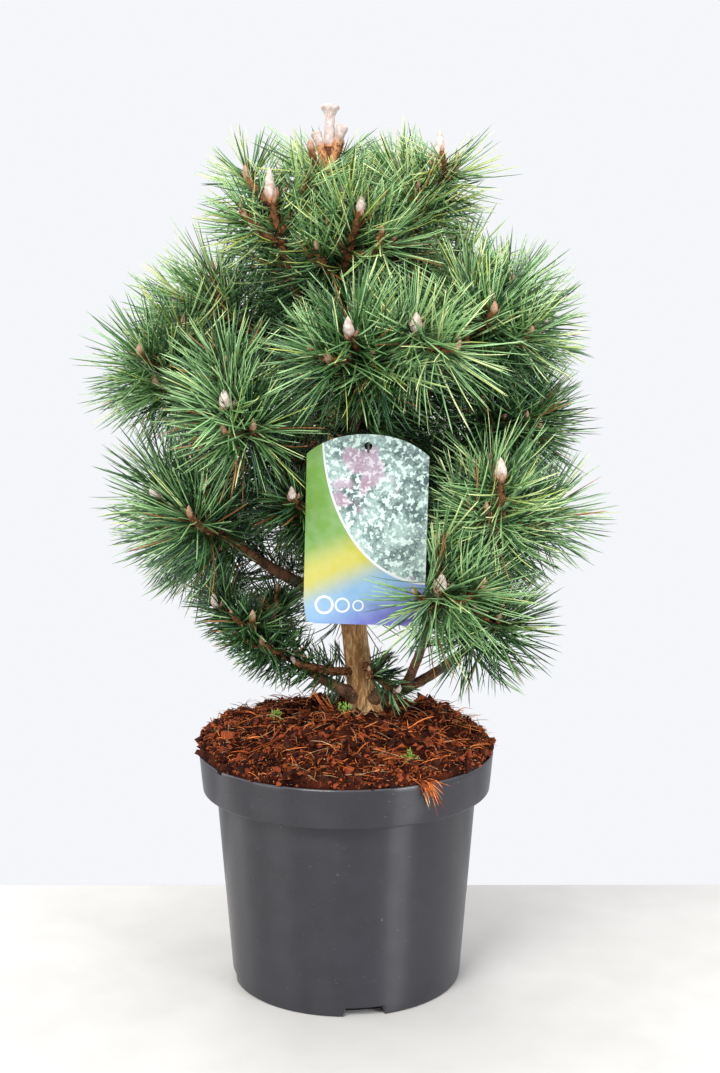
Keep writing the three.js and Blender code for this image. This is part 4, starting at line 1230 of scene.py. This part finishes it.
# Young shoots: scaly stems, the pegs that needles stand on, and buds. Sides, step, rankGirth, bareShare,
# girth, long and least are each for leaders, side shoots and finer twigs.
twigLook = {
    "sides": (12, 8, 8), "step": (2.2, 2.6, 3.0), "swell": 1.18, "scale": 0.8,
    "pegLong": 3.6, "pegWide": 1.15,
    "rankGirth": (1.0, 0.88, 0.62), "bareShare": (0.10, 0.07, 0.10),
    "stemDark": (0.045, 0.017, 0.008), "stemLight": (0.27, 0.105, 0.036),
    "pegDark": (0.20, 0.075, 0.026), "pegLight": (0.74, 0.42, 0.18),
    "stemScale": 170.0, "pegScale": 240.0, "grain": (900.0, 0.5, 0.0006),
}
budLook = {
    "girth": (4.6, 3.0, 2.2), "long": (15.0, 10.0, 7.0), "least": (0, 12.0, 9.0), "rise": 1.3, "scale": 0.09,
    "largeFrom": 16.0,  # shoots with longer buds than this carry them at full length
    "rows": (14, 9), "sides": (14, 8), "fineBelow": 3.6,  # thinner buds than this have fewer rows and sides
    "brown": (0.16, 0.055, 0.022), "rusty": (0.50, 0.22, 0.085), "fleck": (0.45, 0.22, 0.12),
    "pale": (0.44, 0.32, 0.275), "white": (0.74, 0.65, 0.61),
    "smallPale": (0.24, 0.115, 0.062), "smallWhite": (0.44, 0.27, 0.19),
    "brownTo": (0.12, 0.36),  # the share of its length over which brown scales give way to pale ones
    "driftScale": 260.0, "flecks": (420.0, 0.60, 0.6), "shellFlecks": (330.0, 0.53),
    "grain": (900.0, 0.5, 0.0005),
}
candles = {
    "on": "top", "rows": 30, "sides": 24, "pale": (0.36, 0.27, 0.245), "white": (0.60, 0.52, 0.49),
    # share of the leader where it starts, heading, rise, length, half-thickness and how much the tip widens
    "spread": ((0.96, 0, 88, 34, 4.0, 0.85), (0.6, -172, 73, 38, 3.6, 0.20), (0.6, -8, 74, 43, 3.8, 0.25)),
    "ripple": 0.07, "knobFrom": 0.66, "knobOver": 0.24,
    "topBrownTo": (0.0, 0.16), "sideBrownTo": (0.60, 0.82),
}


def frameAt(line, t):
    # the way along a line, and two ways across it
    along = line.along(t)
    side = unit(cross(along, rightward if np.abs(line.along(0.5)[2]) > 0.8 else upward))
    return along, side, cross(side, along)


def candleLong(shoot):
    # a leader's own bud length; a share of it, or the least, on side shoots and twigs
    least = budLook["least"][shoot["rank"]]
    return max(least, 0.6 * shoot["candle"]) if shoot["rank"] else shoot["candle"]


def carriesCandles(shoot):
    # the candles stand here in place of a bud
    return shoot["rank"] == 0 and shoot["mass"] == candles["on"]


def girthOf(shoot, t):
    # a stem's radius by its rank
    return coreRadius(t) * twigLook["swell"] * twigLook["rankGirth"][shoot["rank"]]


def makeStems():
    # the shoots' cores, rippled by two crossing spirals of scales
    parts = []
    for shoot in shoots:
        long, sides = shoot["long"], twigLook["sides"][shoot["rank"]]
        count = max(8, int(long / twigLook["step"][shoot["rank"]]))
        last = 0.985 if carriesCandles(shoot) else 1 - 0.4 * candleLong(shoot) / long
        t = np.linspace(0, last, count)[:, None]
        angle = roundAngles(sides)
        spiral = np.cos(5 * angle + t * long * 0.9) * np.cos(8 * angle - t * long * 0.7)
        radius = girthOf(shoot, t) + twigLook["scale"] * (0.25 + 0.75 * spiral)
        parts.append(tube(shoot["line"].at(t[:, 0]), radius, sides))
    drift = (twigLook["stemScale"], twigLook["stemDark"], twigLook["stemLight"])
    look = driftLook("youngStem", 0.75, drift, twigLook["grain"], specular=0.3)
    makePiece("youngStems", parts, look)


def budShape(line, start, long, girth):
    # radius g sin(pi s^0.72)^0.62 on a path that bends from the shoot's end towards the light, with scales
    fine = 0 if girth > budLook["fineBelow"] else 1
    rows, sides = budLook["rows"][fine], budLook["sides"][fine]
    s = np.linspace(0, 1, rows)
    along = line.along(1.0)
    rising = unit(along + upward * budLook["rise"])
    path = start + long * (along * (s * (1 - s))[:, None] + rising * (s * s)[:, None])
    body = np.sin(math.pi * np.clip(s * 0.97 + 0.03, 0, 1) ** 0.72) ** 0.62
    angle, s = roundAngles(sides)[None], s[:, None]
    ripple = 1 + budLook["scale"] * np.cos(4 * angle + 16 * s) * np.cos(3 * angle - 13 * s)
    return tube(path, girth * np.maximum(body, 0.05)[:, None] * ripple, sides)


def budMaterial(name, pale, white, brownTo=budLook["brownTo"]):
    # brown scales low down, pale resin above them
    look = Look(name, 0.6, specular=0.35)
    body = look.drift(budLook["driftScale"], pale, white)
    body = look.mix(look.flecks(*budLook["flecks"]), body, budLook["fleck"])
    foot = look.rest(look.ramp(look.axis("UV", "X"), *brownTo))
    shell = look.mix(look.flecks(*budLook["shellFlecks"]), budLook["rusty"], budLook["brown"])
    return look.paint(look.mix(foot, body, shell)).grain(*budLook["grain"])


def makeBuds():
    # one bud on each shoot, and three small ones round it on a leader
    random = np.random.default_rng(44)
    leading, lesser = [], []
    for shoot in shoots:
        if carriesCandles(shoot):
            continue
        rank = shoot["rank"]
        long = candleLong(shoot) if candleLong(shoot) > budLook["largeFrom"] else budLook["long"][rank]
        weak = min(1.0, shoot["needle"] / 50)
        long, girth = long * weak, budLook["girth"][rank] * random.uniform(0.88, 1.1) * weak
        along, side, other = frameAt(shoot["line"], 1.0)
        start = shoot["tip"] - along * (long - 2.0)
        (lesser if rank else leading).append(budShape(shoot["line"], start, long, girth))
        for k in range(0 if rank else 3):
            a = k * 2.4 + random.uniform(0, 1)
            out = math.cos(a) * side + math.sin(a) * other
            small = Bend(start, start + along, start + along * 0.25 * long + out * girth * 1.5)
            lesser.append(budShape(small, start + out * girth * 0.5, 0.5 * long, girth * 0.42))
    makePiece("leadingBuds", leading, budMaterial("budScale", budLook["pale"], budLook["white"]))
    look = budMaterial("smallBudScale", budLook["smallPale"], budLook["smallWhite"])
    makePiece("lesserBuds", lesser, look)


def makeCandles():
    # bowed stalks out of the leader; girth rises by the square past knobFrom, and the end is dished
    line = leaders[candles["on"]]
    parts = []
    for share, aim, rise, long, girth, knob in candles["spread"]:
        start = line.at(share)
        end = start + heading(aim, rise) * long
        stalk = Bend(start, lerp(start, end, 0.4) + upward * 0.12 * long, end)
        s = np.linspace(0, 1, candles["rows"])
        path = stalk.at(s)
        angle, s = roundAngles(candles["sides"])[None], s[:, None]
        widened = np.clip((s - candles["knobFrom"]) / candles["knobOver"], 0, 1) ** 2
        wide = girth * (1 + knob * widened) * np.where(s > 0.985, 0.72, 1)
        ripple = 1 + candles["ripple"] * np.cos(5 * angle + 22 * s) * np.cos(4 * angle - 17 * s)
        ripple = ripple + candles["ripple"] * (s > 0.88) * np.cos(7 * angle)
        parts.append(tube(path, wide * ripple, candles["sides"]))
    pale, white = candles["pale"], candles["white"]
    look = budMaterial("candleScale", pale, white, candles["topBrownTo"])
    makePiece("topCandle", parts[:1], look)
    look = budMaterial("sideCandleScale", pale, white, candles["sideBrownTo"])
    makePiece("sideCandles", parts[1:], look)


makeStems()
makeBuds()
makeCandles()


# Needles: pairs from every peg, bowed forward, plain greens dealt out by shoot.
needleRule = {
    "perMm": 1.6, "leanLow": -6.0, "leanHigh": 52.0, "leanCandle": 16.0, "leanPower": 1.25,
    "spread": 9.0, "pairSpread": 0.075, "width": 0.76, "bow": 0.26, "droop": 0.02, "lift": 0.06,
    "turnSpread": 0.25, "bowSpread": 0.045, "second": (0.92, 1.02), "long": (0.86, 1.04), "lastLong": 0.86,
    "widths": (0.85, 1.15), "overMix": 3.0, "air": 1.0, "shortened": {"low_left": 0.72},
    "topCeiling": 724.0,  # the needles round the top candles end below this
    "crownReach": (210.0, 205.0, 290.0), "deepFrom": (0.56, 0.80),  # sprays nearer the heart are shaded
}
# Places that needles don't hang in front of.
openRule = {
    "buds": ("top", "top_left", "top_right"),
    "bud": (14.0, 60.0, 19.0, 6.0),  # how far below the bud's foot, how high, how far aside, how far behind
    # leaders whose stems show: the share of their length, and half the width of the parting
    "stems": {
        "top_front": (0.42, 0.98, 5.5), "top_left": (0.38, 0.86, 4.5), "front": (0.62, 0.98, 2.5),
        "front_right": (0.55, 0.92, 3.5), "upper_right": (0.50, 0.92, 3.0),
    },
    "stemDepth": -1.5, "card": (-0.22, 0.5), "cardMargin": 3, "trunk": (0.02, 0.26, 13.0),
    "checkedAt": (0.4, 0.6, 0.8, 1.0),  # shares of a needle's length
}
# Older needles that still stand on the outer part of the inner boughs, so many to a millimetre.
oldGrowth = {
    "from": 0.30, "to": 0.98, "long": (36.0, 50.0), "lean": (0.0, 34.0), "perMm": 1.1,
    "on": ("front_left", "left", "upper_left", "top_left", "front", "front_centre", "top_right",
           "upper_right", "right_upper", "right", "front_right", "right_low", "mid_back_left", "mid_back",
           "mid_back_right", "back_left", "back", "back_right"),
    "dense": {"upper_right": 2.6, "right_upper": 1.6, "right": 2.2, "mid_back_right": 2.0, "back_right": 2.6},
}
# Needles are darker up to the foot's share of their length, as painted shade, and paler from the tip's, as
# painted light, by so much.
needleLook = {
    "roughness": 0.30, "specular": 0.6, "driftScale": 34.0, "grain": (1200.0, 0.15, 0.0002),
    "footTo": 0.45, "footShadeShare": 0.55, "footShadeTone": 0.6, "tipFrom": 0.55, "tipLightShare": 0.45,
    "tipLightBy": (1.5, 1.3, 1.3), "tipLightPlus": (0.03, 0.03, 0.01),
    "eachFrom": 0.25, "eachShare": 0.35, "eachBy": 1.7,  # how some of them are brighter as a whole
}
needleTones = {
    "deep": ((0.005, 0.024, 0.004), (0.016, 0.058, 0.011)),
    "mid": ((0.038, 0.120, 0.028), (0.088, 0.205, 0.066)),
    "fresh": ((0.108, 0.262, 0.072), (0.290, 0.490, 0.220)),
    "sunny": ((0.300, 0.430, 0.105), (0.600, 0.730, 0.340)),
    "shade": ((0.010, 0.046, 0.021), (0.034, 0.112, 0.060)),
    "dry": ((0.17, 0.060, 0.018), (0.36, 0.150, 0.045)),
    "olive": ((0.150, 0.225, 0.030), (0.420, 0.490, 0.110)),
}
# Shares of the tones in the old growth low on a shoot, and in the new growth of low, middle and high shoots.
toneShares = {
    "old": dict(deep=0.50, mid=0.27, fresh=0.04, sunny=0.0, shade=0.16, dry=0.03, olive=0.0),
    "low": dict(deep=0.16, mid=0.32, fresh=0.36, sunny=0.04, shade=0.10, dry=0.01, olive=0.01),
    "middle": dict(deep=0.17, mid=0.31, fresh=0.36, sunny=0.07, shade=0.05, dry=0.01, olive=0.03),
    "high": dict(deep=0.09, mid=0.20, fresh=0.37, sunny=0.16, shade=0.03, dry=0.0, olive=0.15),
    "bright": dict(deep=0.08, mid=0.20, fresh=0.50, sunny=0.16, shade=0.04, dry=0.0, olive=0.02),
}
dealRule = {
    "bright": ("front_centre", "front_right", "low_front"),
    # painted shade: masses that stand in shadow are dealt darker tones, by so much
    "dark": {"low_left": 0.9, "foot_left": 0.9, "right": 0.45, "right_upper": 0.35, "upper_right": 0.25},
    "lowBelow": 370, "middleBelow": 590, "mingled": 40,  # heights, and how far they vary
    "leading": 4, "leadBy": 2.6,  # one of the first four tones leads in each spray, by so much
    "oldBelow": 0.42, "oldBelowBright": 0.24, "oldDeep": 1.2, "oldSpread": 0.10,
}


def dealtTones(random, crop, mass, tip, paintedShade):
    # one tone leads in each spray; old growth keeps to the darker shares, and sprays deep in the crown take
    # them as painted shade
    height, count = tip[2] + dealRule["mingled"] * random.normal(), len(crop["long"])
    level = "low" if height < dealRule["lowBelow"] else "middle"
    level = "high" if height >= dealRule["middleBelow"] else level
    level = "bright" if mass in dealRule["bright"] else level
    tones = np.array(list(toneShares[level]))
    new, old = [np.array(list(toneShares[key].values())) for key in (level, "old")]
    first = new[:dealRule["leading"]]
    lead = random.choice(dealRule["leading"], p=first / sum(first))
    new = np.where(tones == tones[lead], dealRule["leadBy"], 1.0) * new
    fresh = random.choice(len(tones), count, p=new / new.sum())
    aged = random.choice(len(tones), count, p=old / old.sum())
    below = dealRule["oldBelowBright" if level in ("high", "bright") else "oldBelow"]
    below = lerp(below, dealRule["oldDeep"], paintedShade)
    isOld = crop["rise"] + random.normal(0, dealRule["oldSpread"], count) < below
    return tones[np.where(isOld, aged, fresh)]


def paintedShadeOf(shoot):
    # painted shade: 0 at the crown's outside, 1 near its heart, and at least the share given for a dark mass
    outward = np.linalg.norm((shoot["tip"] - crownHeart) / needleRule["crownReach"])
    low, high = needleRule["deepFrom"]
    return max(dealRule["dark"].get(shoot["mass"], 0), np.clip((high - outward) / (high - low), 0, 1))


def tipsOf(crop, s=1.0):
    # a place along every needle: foot + way L s + bow L s^2
    return crop["foot"] + (crop["way"] * s + crop["bow"] * s * s) * crop["long"][:, None]


def needleCrop(random, line, t, rise, lean, girth, length):
    # feet on a golden-angle spiral up the stem, each with a pair that stands apart a little
    count = len(t)
    along, side, other = frameAt(line, t)
    a = np.arange(count) * golden + random.normal(0, needleRule["turnSpread"], count)
    out = np.cos(a)[:, None] * side + np.sin(a)[:, None] * other
    lean = np.radians(lean + random.normal(0, needleRule["spread"], count))
    way = unit(out * np.cos(lean)[:, None] + along * np.sin(lean)[:, None] + upward * needleRule["lift"])
    foot = line.at(t) + out * (girth * 0.8)[:, None]
    bow = along * (needleRule["bow"] * (1 - 0.6 * rise))[:, None] - upward * needleRule["droop"]
    bow = bow + random.normal(0, needleRule["bowSpread"], (count, 3))
    pair = unit(cross(way, random.normal(0, 1, (count, 3)))) * needleRule["pairSpread"]
    second = length * random.uniform(*needleRule["second"], count)
    return {"foot": np.concatenate([foot, foot]), "way": unit(np.concatenate([way + pair, way - pair])),
            "bow": np.concatenate([bow + pair * 0.5, bow - pair * 0.5]),
            "long": np.concatenate([length, second]), "rise": np.concatenate([rise, rise]),
            "peg": foot, "pegWay": way}


def growNeedles(shoot, random):
    # lean goes from low to high towards the bud
    rank, long = shoot["rank"], shoot["long"]
    first, last = twigLook["bareShare"][rank], 1 - 0.75 * candleLong(shoot) / long
    count = int((last - first) * long * needleRule["perMm"])
    if count < 6:
        return None
    rise = (np.arange(count) + random.random(count)) / count
    t = lerp(first, last, rise)
    large = shoot["candle"] > budLook["largeFrom"] and rank == 0
    leanHigh = needleRule["leanCandle" if large else "leanHigh"]
    lean = lerp(needleRule["leanLow"], leanHigh, rise ** needleRule["leanPower"])
    length = shoot["needle"] * random.uniform(*needleRule["long"], count)
    length = length * lerp(1.0, needleRule["lastLong"], rise**3)
    length *= needleRule["shortened"].get(shoot["mass"], 1.0)
    return needleCrop(random, shoot["line"], t, rise, lean, girthOf(shoot, t), length)


def growOldNeedles(name, random):
    # even along the outer part of a bough, leaning at random
    limb, first = limbs[name], oldGrowth["from"]
    count = int((1 - first) * limb["long"] * oldGrowth["dense"].get(name, oldGrowth["perMm"]))
    t = lerp(first, oldGrowth["to"], (np.arange(count) + random.random(count)) / count)
    lean, length = [random.uniform(*oldGrowth[key], count) for key in ("lean", "long")]
    return needleCrop(random, limb["line"], t, 0 * t, lean, limb["radius"](t), length)


def openPlaces():
    # a low and a high end, half a width, and how far behind the line between them a needle may pass
    below, high, half, depth = openRule["bud"]
    places = []
    for mass in openRule["buds"]:
        low = leaders[mass].at(1.0) - upward * below
        places.append((low, low + upward * high, half, depth))
    for mass, (first, last, half) in openRule["stems"].items():
        places.append((leaders[mass].at(first), leaders[mass].at(last), half, openRule["stemDepth"]))
    low, high = onLabel(np.array([[0, share * label["height"], 0] for share in openRule["card"]]))
    places.append((low, high, 0.5 * label["width"] - openRule["cardMargin"], 0.0))
    first, last, half = openRule["trunk"]
    places.append((limbs["trunk"]["line"].at(first), limbs["trunk"]["line"].at(last), half, 0.0))
    return places


def keepsClear(crop):
    # over the mix, not through the label, and nowhere along its outer half in front of an open place
    tip = tipsOf(crop)
    free = tip[:, 2] > heapHeight(tip[:, 0], tip[:, 1]) + needleRule["overMix"]
    thin = np.full(len(tip), 0.6)
    free &= ~cutsLabel((crop["foot"] + crop["way"] * 6.0, tip, thin, thin), needleRule["air"])
    for low, high, half, depth in openPlaces():
        for s in openRule["checkedAt"]:
            x, y, z = tipsOf(crop, s).T
            share = (z - low[2]) / (high[2] - low[2])
            aside = np.abs(x - lerp(low[0], high[0], share)) < half
            before = y < lerp(low[1], high[1], share) + depth
            free &= ~((share > 0) & (share < 1) & aside & before)
    return free


def makeNeedles():
    # each crop is cut clear of the open places and dealt out by tone, one piece for each tone
    random = np.random.default_rng(2026)
    sorts = {tone: [] for tone in needleTones}
    pegs = []
    crops = [(growNeedles(s, random), s["mass"], s["tip"], paintedShadeOf(s)) for s in shoots]
    # old growth on the inner boughs takes the full painted shade
    crops += [(growOldNeedles(name, random), name, limbs[name]["line"].at(1.0), 1.0)
              for name in oldGrowth["on"]]
    for crop, mass, tip, paintedShade in crops:
        if crop is None:
            continue
        pegs.append((crop.pop("peg"), crop.pop("pegWay")))
        free = keepsClear(crop)
        if mass in ("top", "top_back"):
            free &= tipsOf(crop)[:, 2] < needleRule["topCeiling"]
        crop = {key: value[free] for key, value in crop.items()}
        picks = dealtTones(random, crop, mass, tip, paintedShade)
        for tone in sorts:
            sorts[tone].append({key: value[picks == tone] for key, value in crop.items()})
    massNodes = ["needles_" + name for name in masses]
    for tone, dealt in sorts.items():
        foot, way, long, bow = [np.concatenate([crop[key] for crop in dealt])
                                for key in ("foot", "way", "long", "bow")]
        width = needleRule["width"] * random.uniform(*needleRule["widths"], len(long))
        # the dark ones that hardly show have fewer rings
        section = dict(shares=(0, 0.45, 0.85), girths=(0.7, 1, 0.7)) if tone in ("deep", "shade") else {}
        shape = blades(random, foot, way, long, bow, width, rollTo=6.28, **section)
        makePiece(tone + "Needles", [shape], needleMaterial(tone), massNodes)
    foot, way = [np.concatenate(column) for column in zip(*pegs)]
    long, width = [np.full(len(foot), twigLook[key]) for key in ("pegLong", "pegWide")]
    shape = blades(random, foot - way * 0.8, way, long, 0 * foot, width, shares=(0,), girths=(1,),
                   flat=1.0, rollTo=6.28)
    drift = (twigLook["pegScale"], twigLook["pegDark"], twigLook["pegLight"])
    look = driftLook("needlePeg", 0.7, drift, specular=0.3)
    makePiece("needlePegs", [shape], look, smooth=False)


def needleMaterial(tone):
    # painted shade at the foot, painted light at the tip, and each needle a little different
    dark, light = needleTones[tone]
    look = Look(tone + "Needle", needleLook["roughness"], specular=needleLook["specular"])
    along, each = look.axis("UV", "X"), look.ramp(look.axis("UV", "Y"), needleLook["eachFrom"], 1.0)
    bright = tuple(min(1, c * needleLook["eachBy"]) for c in light)
    body = look.drift(needleLook["driftScale"], dark, light)
    body = look.mix(look.times(each, needleLook["eachShare"]), body, bright)
    # painted shade: darker towards the needle's foot
    foot = look.times(look.rest(look.ramp(along, 0.0, needleLook["footTo"])), needleLook["footShadeShare"])
    body = look.mix(foot, body, shaded(dark, needleLook["footShadeTone"]))
    # painted light: paler towards the needle's tip
    tip = look.times(look.ramp(along, needleLook["tipFrom"], 1.0), needleLook["tipLightShare"])
    pale = tuple(c * by + plus for c, by, plus in zip(light, needleLook["tipLightBy"], needleLook["tipLightPlus"]))
    return look.paint(look.mix(tip, body, pale)).grain(*needleLook["grain"])


makeNeedles()


# Label: a printed card with a round eye, and its wire.
labelLook = {
    "rays": 120, "curl": 1.2, "eyeRows": 10, "cornerSteps": 14, "crest": 0.62,
    "paper": (0.58, 0.61, 0.61), "lime": (0.115, 0.25, 0.035), "maize": (0.40, 0.37, 0.035),
    "aqua": (0.17, 0.32, 0.50), "violet": (0.105, 0.095, 0.41),
    "leafPale": (0.33, 0.45, 0.42), "leafDeep": (0.060, 0.100, 0.100), "leafTips": (0.60, 0.73, 0.68),
    "leafRose": (0.50, 0.30, 0.42), "tipFlecks": (230.0, 0.52, 0.8), "roseFlecks": (31.0, 0.62, 0.5),
    # where each colour of the ground begins and ends, up the card along the slope
    "limeFrom": (0.24, 0.42), "maizeFrom": (0.04, 0.22), "aquaFrom": (-0.20, 0.03), "slope": -0.30,
    # the foliage's ellipse: its middle, its reach across and up, and where its pale rim begins
    "sweep": (1.0, 1.02, 0.88, 0.80), "sweepRim": 0.965, "fading": 0.12,
    # across the card, and its size, for each of the rings
    "rings": ((0.17, 0.050), (0.32, 0.040), (0.45, 0.030)), "ringsUp": 0.10,
    "ringInner": 0.55, "ringWide": 1.57,  # as the card is so much higher than wide, this keeps them round
    "wireDark": (0.030, 0.028, 0.026), "wireLight": (0.075, 0.070, 0.064), "wireRows": 90, "wireSides": 10,
}


def labelOutline(angles):
    # distance from the eye to the card's edge in each direction: where a ray meets each side of the outline
    w, h = label["width"] / 2, label["height"] / 2
    corner, shoulder, crest = label["corner"], label["shoulder"], labelLook["crest"] * w
    bends = [((w - corner, -h), (w, -h), (w, -h + corner)), ((w, h - shoulder), (crest, h), (0, h)),
             ((0, h), (-crest, h), (-w, h - shoulder)), ((-w, -h + corner), (-w, -h), (-w + corner, -h))]
    steps = np.linspace(0, 1, labelLook["cornerSteps"])
    edge = [[(-w + corner, -h), (w - corner, -h)]] + [Bend(*np.array(bend)).at(steps) for bend in bends]
    edge = np.concatenate(edge) - (0, label["holeUp"])
    side = np.roll(edge, -1, axis=0) - edge
    edgeX, edgeY, sideX, sideY = [v[None] for v in (*edge.T, *side.T)]
    wayX, wayY = np.cos(angles)[:, None], np.sin(angles)[:, None]
    det = wayX * sideY - wayY * sideX
    det = np.where(np.abs(det) < 1e-9, 1e-9, det)
    far = (edgeX * sideY - edgeY * sideX) / det
    on = (edgeX * wayY - edgeY * wayX) / det
    return np.where((far > 0) & (on >= -1e-6) & (on <= 1 + 1e-6), far, np.inf).min(1)


def makeLabel():
    # rings between the eye and the outline, front and back, closed like a flat torus
    angles = np.linspace(0, 2 * math.pi, labelLook["rays"], endpoint=False)
    shoulderUp = label["height"] / 2 - label["shoulder"] - label["holeUp"]
    corners = np.arctan2([shoulderUp] * 2, [label["width"] / 2, -label["width"] / 2])
    angles = np.sort(np.concatenate([angles, np.mod(corners, 2 * math.pi)]))
    share = np.linspace(0, 1, labelLook["eyeRows"]) ** 1.4
    lift = np.repeat([label["thick"] / 2, -label["thick"] / 2], len(share))
    reach = lerp(label["holeRadius"], labelOutline(angles)[None], np.append(share, share[::-1])[:, None])
    x, y = reach * np.cos(angles), label["holeUp"] + reach * np.sin(angles)
    z = lift[:, None] + labelLook["curl"] * (x / label["width"]) ** 2
    rows, columns = reach.shape
    c = np.arange(columns)
    n, last = (c + 1) % columns, (rows - 1) * columns
    quads = np.concatenate([gridFaces(rows, columns), np.stack([last + c, last + n, n, c], -1)])[:, ::-1]
    # the back's U is moved on by two, which tells it from the front
    uv = np.stack([x / label["width"] + 0.5, y / label["height"] + 0.5], -1)
    uv[len(share):, :, 0] += 2.0
    verts = onLabel(np.stack([x, y, z], -1).reshape(-1, 3))
    shape = {"verts": verts, "quads": quads, "uv": uv.reshape(-1, 2)}
    makePiece("plantLabel", [shape], labelMaterial(), ["label"], smooth=False)
    wire = tube(wirePath(labelLook["wireRows"]), tie["radius"], labelLook["wireSides"])
    drift = (300.0, labelLook["wireDark"], labelLook["wireLight"])
    look = driftLook("wireCoat", 0.45, drift, (900.0, 0.2, 0.0003))
    makePiece("labelWire", [wire], look, ["label_tie"])


def labelMaterial():
    # a lime, maize, aqua and violet ground; a sweep of mottled foliage from the top right corner; three rings
    look = Look("labelCard", 0.3)
    paper = labelLook["paper"]
    u, v = look.axis("UV", "X"), look.axis("UV", "Y")
    slant = look.math("ADD", v, look.times(u, labelLook["slope"]))
    colour = labelLook["lime"]
    for start, under in (("limeFrom", "maize"), ("maizeFrom", "aqua"), ("aquaFrom", "violet")):
        colour = look.mix(look.ramp(slant, *labelLook[start]), labelLook[under], colour)
    faded = look.times(look.effect("drift", scale=16.0)["Mask"], labelLook["fading"])
    colour = look.mix(faded, colour, paper)

    def oval(centreU, centreV, wide, high):
        # 1 on the edge of an ellipse, less inside
        a = look.math("DIVIDE", look.math("SUBTRACT", u, centreU), wide)
        b = look.math("DIVIDE", look.math("SUBTRACT", v, centreV), high)
        return look.math("ADD", look.times(a, a), look.times(b, b))

    field = look.drift(60.0, labelLook["leafDeep"], labelLook["leafPale"])
    field = look.mix(look.flecks(*labelLook["tipFlecks"]), field, labelLook["leafTips"])
    field = look.mix(look.flecks(*labelLook["roseFlecks"]), field, labelLook["leafRose"])
    sweep = oval(*labelLook["sweep"])
    colour = look.mix(look.math("LESS_THAN", sweep, 1.0), colour, paper)
    colour = look.mix(look.math("LESS_THAN", sweep, labelLook["sweepRim"]), colour, field)
    for centreU, size in labelLook["rings"]:
        ring = oval(centreU, labelLook["ringsUp"], size * labelLook["ringWide"], size)
        inside = look.math("LESS_THAN", ring, 1.0)
        band = look.times(inside, look.math("GREATER_THAN", ring, labelLook["ringInner"]))
        colour = look.mix(band, colour, paper)
    back = look.math("GREATER_THAN", u, 1.5)
    return look.paint(look.mix(back, colour, paper)).grain(500.0, 0.1, 0.0002)


makeLabel()
